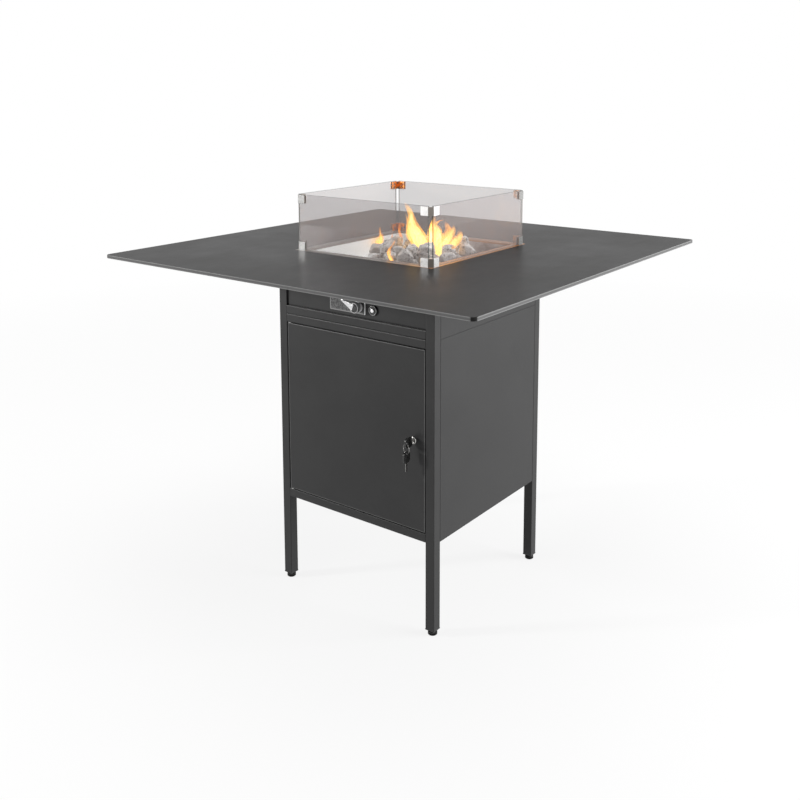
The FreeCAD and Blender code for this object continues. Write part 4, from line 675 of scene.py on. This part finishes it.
# How many of each to the metre, and how far each moves the surface in metres
LUMPS, DENTS, CHIPS = 60, 190, 110
STANDS_OUT, LUMP_HIGH, DENT_DEEP, CHIP_DEEP = 0.0008, 0.0010, 0.0011, 0.012
stones = copied("lava_stones")
bmesh.ops.subdivide_edges(stones, edges=stones.edges, cuts=6, use_grid_fill=True)
bmesh.ops.triangulate(stones, faces=stones.faces)
bmesh.ops.smooth_vert(stones, verts=stones.verts, factor=0.5,
                      use_axis_x=True, use_axis_y=True, use_axis_z=True)
fresh = set(stones.verts)
chance = random.Random(11)
while fresh:
    # A dictionary keeps its corners in the order they are met, so the sums come out alike each run
    stone, edge_of_stone = {}, [next(vert for vert in stones.verts if vert in fresh)]
    while edge_of_stone:
        vert = edge_of_stone.pop()
        if vert not in stone:
            stone[vert] = True
            edge_of_stone += [edge.other_vert(vert) for edge in vert.link_edges]
    fresh.difference_update(stone)
    middle = sum((vert.co for vert in stone), Vector()) / len(stone)
    reach = sum((vert.co - middle).length for vert in stone) / len(stone)
    for vert in stone:
        vert.co = middle + (vert.co - middle) * SWELL
    for _ in range(BROKEN_FACES):
        facing = Vector((chance.gauss(0, 1), chance.gauss(0, 1), chance.gauss(0, 0.8))).normalized()
        depth = reach * chance.uniform(NEAREST_BREAK, FARTHEST_BREAK)
        for vert in stone:
            beyond = (vert.co - middle).dot(facing) - depth
            if beyond > 0:
                vert.co -= facing * beyond
stones.normal_update()
for vert in stones.verts:
    lump = noise.fractal(vert.co * LUMPS, 1.0, 2.0, 3)
    dent = noise.noise(vert.co * DENTS)
    chip = max(0, noise.noise(vert.co * CHIPS + Vector((5, 5, 5))) - 0.2)
    vert.co += vert.normal * (STANDS_OUT + LUMP_HIGH * lump + DENT_DEEP * dent - CHIP_DEEP * chip)
finished(stones, "rocks", lava.owner, "lava_rock", "table", "lava_stones", smooth=24)

# Guard clips
# Eight corner clips, cast in stainless and satin polished, slide over the ends of the panes, and grub
# screws press on the glass from inside. Their rims are eased, the near ones are made brightest by a painted
# highlight, and the inner faces of the far ones carry heat tint and painted orange firelight.
polished = Coat("polished_clip", Metallic=0.5)
fine = polished.grain(0.0006, 3, 0.6, (1, 1, 0.1))
finger = polished.grain(0.012, 4, 0.6)
# Painted highlight: the clips grow brighter towards the near corner
painted_near_highlight = polished.between(polished.axis("X") - polished.axis("Y"), 0.10, 0.35)
polished.show(
    Base_Color=polished.blend(finger * 0.3 + painted_near_highlight * 0.7, (0.20, 0.20, 0.195, 1), (0.82, 0.81, 0.80, 1)),
    Roughness=polished.between(fine, 0.3, 0.7, 0.22, 0.34) + finger * 0.06,
    Normal=polished.raised(fine, 0.00001, 0.4))
tinted_and_firelit = Coat("heat_tinted_clip", Metallic=0.6)
soft = tinted_and_firelit.grain(0.012, 4, 0.6)
# Heat tint and painted firelight on the inner faces of the far clips, towards the flames
fire_facing = tinted_and_firelit.between(tinted_and_firelit.axis("Y") - tinted_and_firelit.axis("X") * 0.8, -0.02, 0.25)
tint_and_fire_glow = fire_facing * tinted_and_firelit.between(soft, 0.40, 0.56)
tinted_and_firelit.show(
    Base_Color=tinted_and_firelit.blend(tint_and_fire_glow, (0.25, 0.225, 0.20, 1), (0.85, 0.28, 0.05, 1)),
    Roughness=tinted_and_firelit.between(soft, 0.3, 0.7, 0.25, 0.4),
    Normal=tinted_and_firelit.raised(soft, 0.00003, 0.4))
CLIP_ROUND = 0.0006
for node in ("guard_lower_clips", "guard_upper_clips"):
    clips = soften(copied(node), CLIP_ROUND, 3, 30)
    for face in clips.faces:
        slant = min(abs(face.normal.x), abs(face.normal.y))
        outward = face.normal.xy.dot(face.calc_center_median().xy)
        face.material_index = 1 if slant > 0.66 or outward < -0.02 else 0
    clip_set = finished(clips, node + "_cast", polished.owner, "stainless_sheet", "guard", node)
    clip_set.data.materials.append(tinted_and_firelit.owner)

# Glass panes
# Four panes of 5 mm grey tempered glass stand in the clips. A pane dims what is behind it and mirrors the
# studio, and its ground edges are dark with a green cast.
smoked = Finish(bpy.data.materials.new("smoked_glass"))
smoked.clear()
clear = smoked.node("ShaderNodeBsdfTransparent", None, {"Color": (0.845, 0.85, 0.855, 1)})
gloss = smoked.node("ShaderNodeBsdfPrincipled", None,
                    {"Base Color": (0.60, 0.52, 0.50, 1), "Roughness": 0.04, "Specular IOR Level": 1.0})
back = smoked.node("ShaderNodeNewGeometry", None, None, "Backfacing")
sheen = smoked.node("ShaderNodeFresnel", None, {"IOR": 1.7}) + 0.15
smoked.surface(smoked.node("ShaderNodeMixShader", None, {0: sheen * (1 - back), 1: clear, 2: gloss}))
ground_edge = Coat("ground_glass_edge", Specular_IOR_Level=0.5)
frost = ground_edge.grain(0.0008, 3, 0.6)
ground_edge.show(
    Base_Color=ground_edge.blend(frost, (0.03, 0.04, 0.036, 1), (0.08, 0.10, 0.09, 1)),
    Alpha=ground_edge.between(frost, 0.3, 0.7, 0.6, 0.8),
    Roughness=ground_edge.between(frost, 0.3, 0.7, 0.3, 0.5),
    Normal=ground_edge.raised(frost, 0.00003, 0.5))
PANE_ROUND = 0.0005
for side in ("front", "right", "rear", "left"):
    low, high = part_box("glass_" + side)
    pane = bmesh.new()
    bmesh.ops.create_cube(pane, size=1)
    bmesh.ops.scale(pane, verts=pane.verts, vec=high - low)
    bmesh.ops.translate(pane, verts=pane.verts, vec=(low + high) / 2)
    bmesh.ops.bevel(pane, geom=pane.edges[:], offset=PANE_ROUND, offset_type="OFFSET", segments=2,
                    profile=0.5, affect="EDGES", material=-1)
    thin = 1 if side in ("front", "rear") else 0
    for face in pane.faces:
        face.material_index = 0 if abs(face.normal[thin]) > 0.999 else 1
    sheet = finished(pane, "pane_" + side, smoked.owner, "smoked_glass", "guard", "glass_" + side, smooth=20)
    sheet.data.materials.append(ground_edge.owner)

# Flames
# The gas burns in yellow tongues with orange skirts that rise between the stones. Each tongue is three
# closed skins, one inside the other along a bent line, paler and denser towards the middle.
fire = Coat("flame", Base_Color=(0, 0, 0, 1), Specular_IOR_Level=0.0, Roughness=1.0, Emission_Strength=3.0)
warmth = fire.node("ShaderNodeAttribute", {"attribute_name": "warmth"}, None, "Fac")
fading = fire.node("ShaderNodeAttribute", {"attribute_name": "fading"}, None, "Fac")
lick = fire.node("ShaderNodeTexNoise", None, {
    "Vector": fire.node("ShaderNodeMapping", None, {"Vector": fire.where, "Scale": (1, 1, 0.32)}),
    "Scale": 120.0, "Detail": 3.0, "Distortion": 1.2})
stir = fire.between(lick, 0.3, 0.7, -0.24, 0.24)
fire.show(
    Emission_Color=fire.node("ShaderNodeValToRGB", {"stops": [
        (0.0, (0.72, 0.14, 0.01, 1)), (0.25, (0.90, 0.30, 0.03, 1)), (0.5, (0.98, 0.48, 0.08, 1)),
        (0.75, (1.0, 0.66, 0.20, 1)), (1.0, (1.0, 0.82, 0.42, 1))]}, {0: warmth + stir}),
    Alpha=fire.between(fading * (fire.between(warmth, 0.2, 1.0, 0.16, 0.85) + stir * 1.3), 0.0, 1.0))
# Share of the tongue's length, share of its width, and warmth of each skin
SKINS = ((1.0, 1.0, 0.42), (0.93, 0.72, 0.78), (0.80, 0.42, 1.0))
TWIST = 1.1
# How many of each to the metre along X, Y and Z, and how far each moves a skin in metres
WAVERS, RUFFLES = Vector((34, 34, 16)), Vector((110, 110, 50))
WAVER_WIDE, RUFFLE_WIDE = 0.013, 0.0034


def along_curve(line, up):
    """The point at a share of the way up a smooth curve through a line's points."""
    legs = [line[0]] + line + [line[-1]]
    along = up * (len(line) - 1)
    step = min(int(along), len(line) - 2)
    share = along - step
    before, start, end, after = legs[step:step + 4]
    return 0.5 * (2 * start + (end - before) * share
                  + (2 * before - 5 * start + 4 * end - after) * share ** 2
                  + (3 * start - before - 3 * end + after) * share ** 3)


def tongue(shape, line, wide, thin, angle, hot):
    """Three nested skins along a bent line. Wide and thin are the half widths of its belly."""
    line = [Vector(point) for point in line]
    for reach, girth, heat_and_glow in SKINS:
        for vert in bmesh.ops.create_uvsphere(shape, u_segments=16, v_segments=30, radius=1)["verts"]:
            up = (vert.co.z + 1) / 2
            flat = Vector((vert.co.x, vert.co.y))
            flat = flat.normalized() if flat.length > 0.001 else flat
            belly = math.sin(math.pi * up ** 0.5) ** 0.62 * (1 - 0.42 * up) * girth
            turn = angle + TWIST * up
            across = flat.x * wide * belly
            deep = flat.y * thin * belly
            place = along_curve(line, up * reach)
            place += Vector((math.cos(turn) * across - math.sin(turn) * deep,
                             math.sin(turn) * across + math.cos(turn) * deep, 0))
            waver = noise.noise_vector(place * WAVERS)
            ruffle = noise.noise_vector(place * RUFFLES)
            vert.co = place + waver * WAVER_WIDE * up ** 0.6 + ruffle * RUFFLE_WIDE
            vert[heat_layer] = heat_and_glow * hot * (1 - 0.35 * up ** 2)
            vert[fade_layer] = min(1.0, 9 * up) * (1 - up ** 4)


# Points up the middle, half width and half depth in metres, turn in radians, and warmth
TONGUES = [
    ([(0.060, 0.004, 1.024), (0.040, -0.005, 1.062), (0.020, -0.015, 1.104), (0.010, -0.022, 1.152),
      (-0.002, -0.028, 1.199)], 0.036, 0.020, 0.4, 1.1),
    ([(0.046, 0.010, 1.024), (0.020, -0.002, 1.062), (-0.006, -0.010, 1.100), (-0.020, -0.012, 1.164)],
     0.024, 0.014, 1.2, 0.95),
    ([(0.064, 0.020, 1.024), (0.062, 0.022, 1.072), (0.058, 0.022, 1.110), (0.070, 0.027, 1.154)],
     0.030, 0.020, 0.0, 1.0),
    ([(0.080, 0.012, 1.024), (0.088, 0.018, 1.068), (0.080, 0.018, 1.104), (0.066, 0.010, 1.142)],
     0.036, 0.020, 2.0, 1.0),
    ([(0.086, 0.010, 1.024), (0.108, 0.010, 1.062), (0.126, 0.022, 1.090), (0.128, 0.030, 1.126)],
     0.034, 0.020, 0.9, 0.95),
    ([(0.100, 0.018, 1.026), (0.124, 0.024, 1.058), (0.142, 0.036, 1.080), (0.144, 0.040, 1.108)],
     0.026, 0.016, 2.6, 0.85),
    ([(0.020, 0.030, 1.026), (0.000, 0.040, 1.056), (-0.014, 0.045, 1.080), (-0.008, 0.048, 1.112)],
     0.020, 0.012, 1.7, 0.5),
    ([(0.075, 0.070, 1.026), (0.070, 0.080, 1.062), (0.078, 0.086, 1.095), (0.066, 0.092, 1.128)],
     0.024, 0.012, 0.3, 0.6),
    ([(0.030, 0.065, 1.100), (0.040, 0.074, 1.116), (0.052, 0.082, 1.128), (0.066, 0.090, 1.136)],
     0.0050, 0.004, 0.0, 0.45),
    ([(-0.210, 0.098, 1.004), (-0.205, 0.096, 1.036), (-0.200, 0.098, 1.056), (-0.204, 0.100, 1.086)],
     0.016, 0.009, 0.6, 0.65),
    ([(-0.150, 0.120, 1.005), (-0.140, 0.125, 1.045), (-0.146, 0.128, 1.075), (-0.136, 0.132, 1.106)],
     0.012, 0.008, 2.2, 0.25),
    ([(0.070, -0.190, 1.036), (0.064, -0.196, 1.058), (0.068, -0.194, 1.080), (0.084, -0.188, 1.100)],
     0.0075, 0.005, 0.2, 0.55),
    ([(-0.090, 0.020, 1.020), (-0.094, 0.026, 1.048), (-0.100, 0.024, 1.066), (-0.096, 0.030, 1.090)],
     0.012, 0.008, 1.0, 0.4),
]
# Unseeded, the vector noise would start at another place each run
noise.seed_set(2)
fires = bmesh.new()
heat_layer = fires.verts.layers.float.new("warmth")
fade_layer = fires.verts.layers.float.new("fading")
for shape_of_tongue in TONGUES:
    tongue(fires, *shape_of_tongue)
finished(fires, "flames", fire.owner, None, "table", smooth=90)

# Firelight
# A faint warm lamp in the flames lights the stones, the tray and the clips, as the burning gas does. The
# flames glow by themselves, but too little for that.
glow_lamp = bpy.data.lights.new("firelight", "POINT")
glow_lamp.energy = 0.2
glow_lamp.color = (1.0, 0.5, 0.2)
glow_lamp.shadow_soft_size = 0.05
firelight = bpy.data.objects.new("firelight", glow_lamp)
firelight.location = (0.07, 0.02, 1.10)
bpy.context.scene.collection.objects.link(firelight)
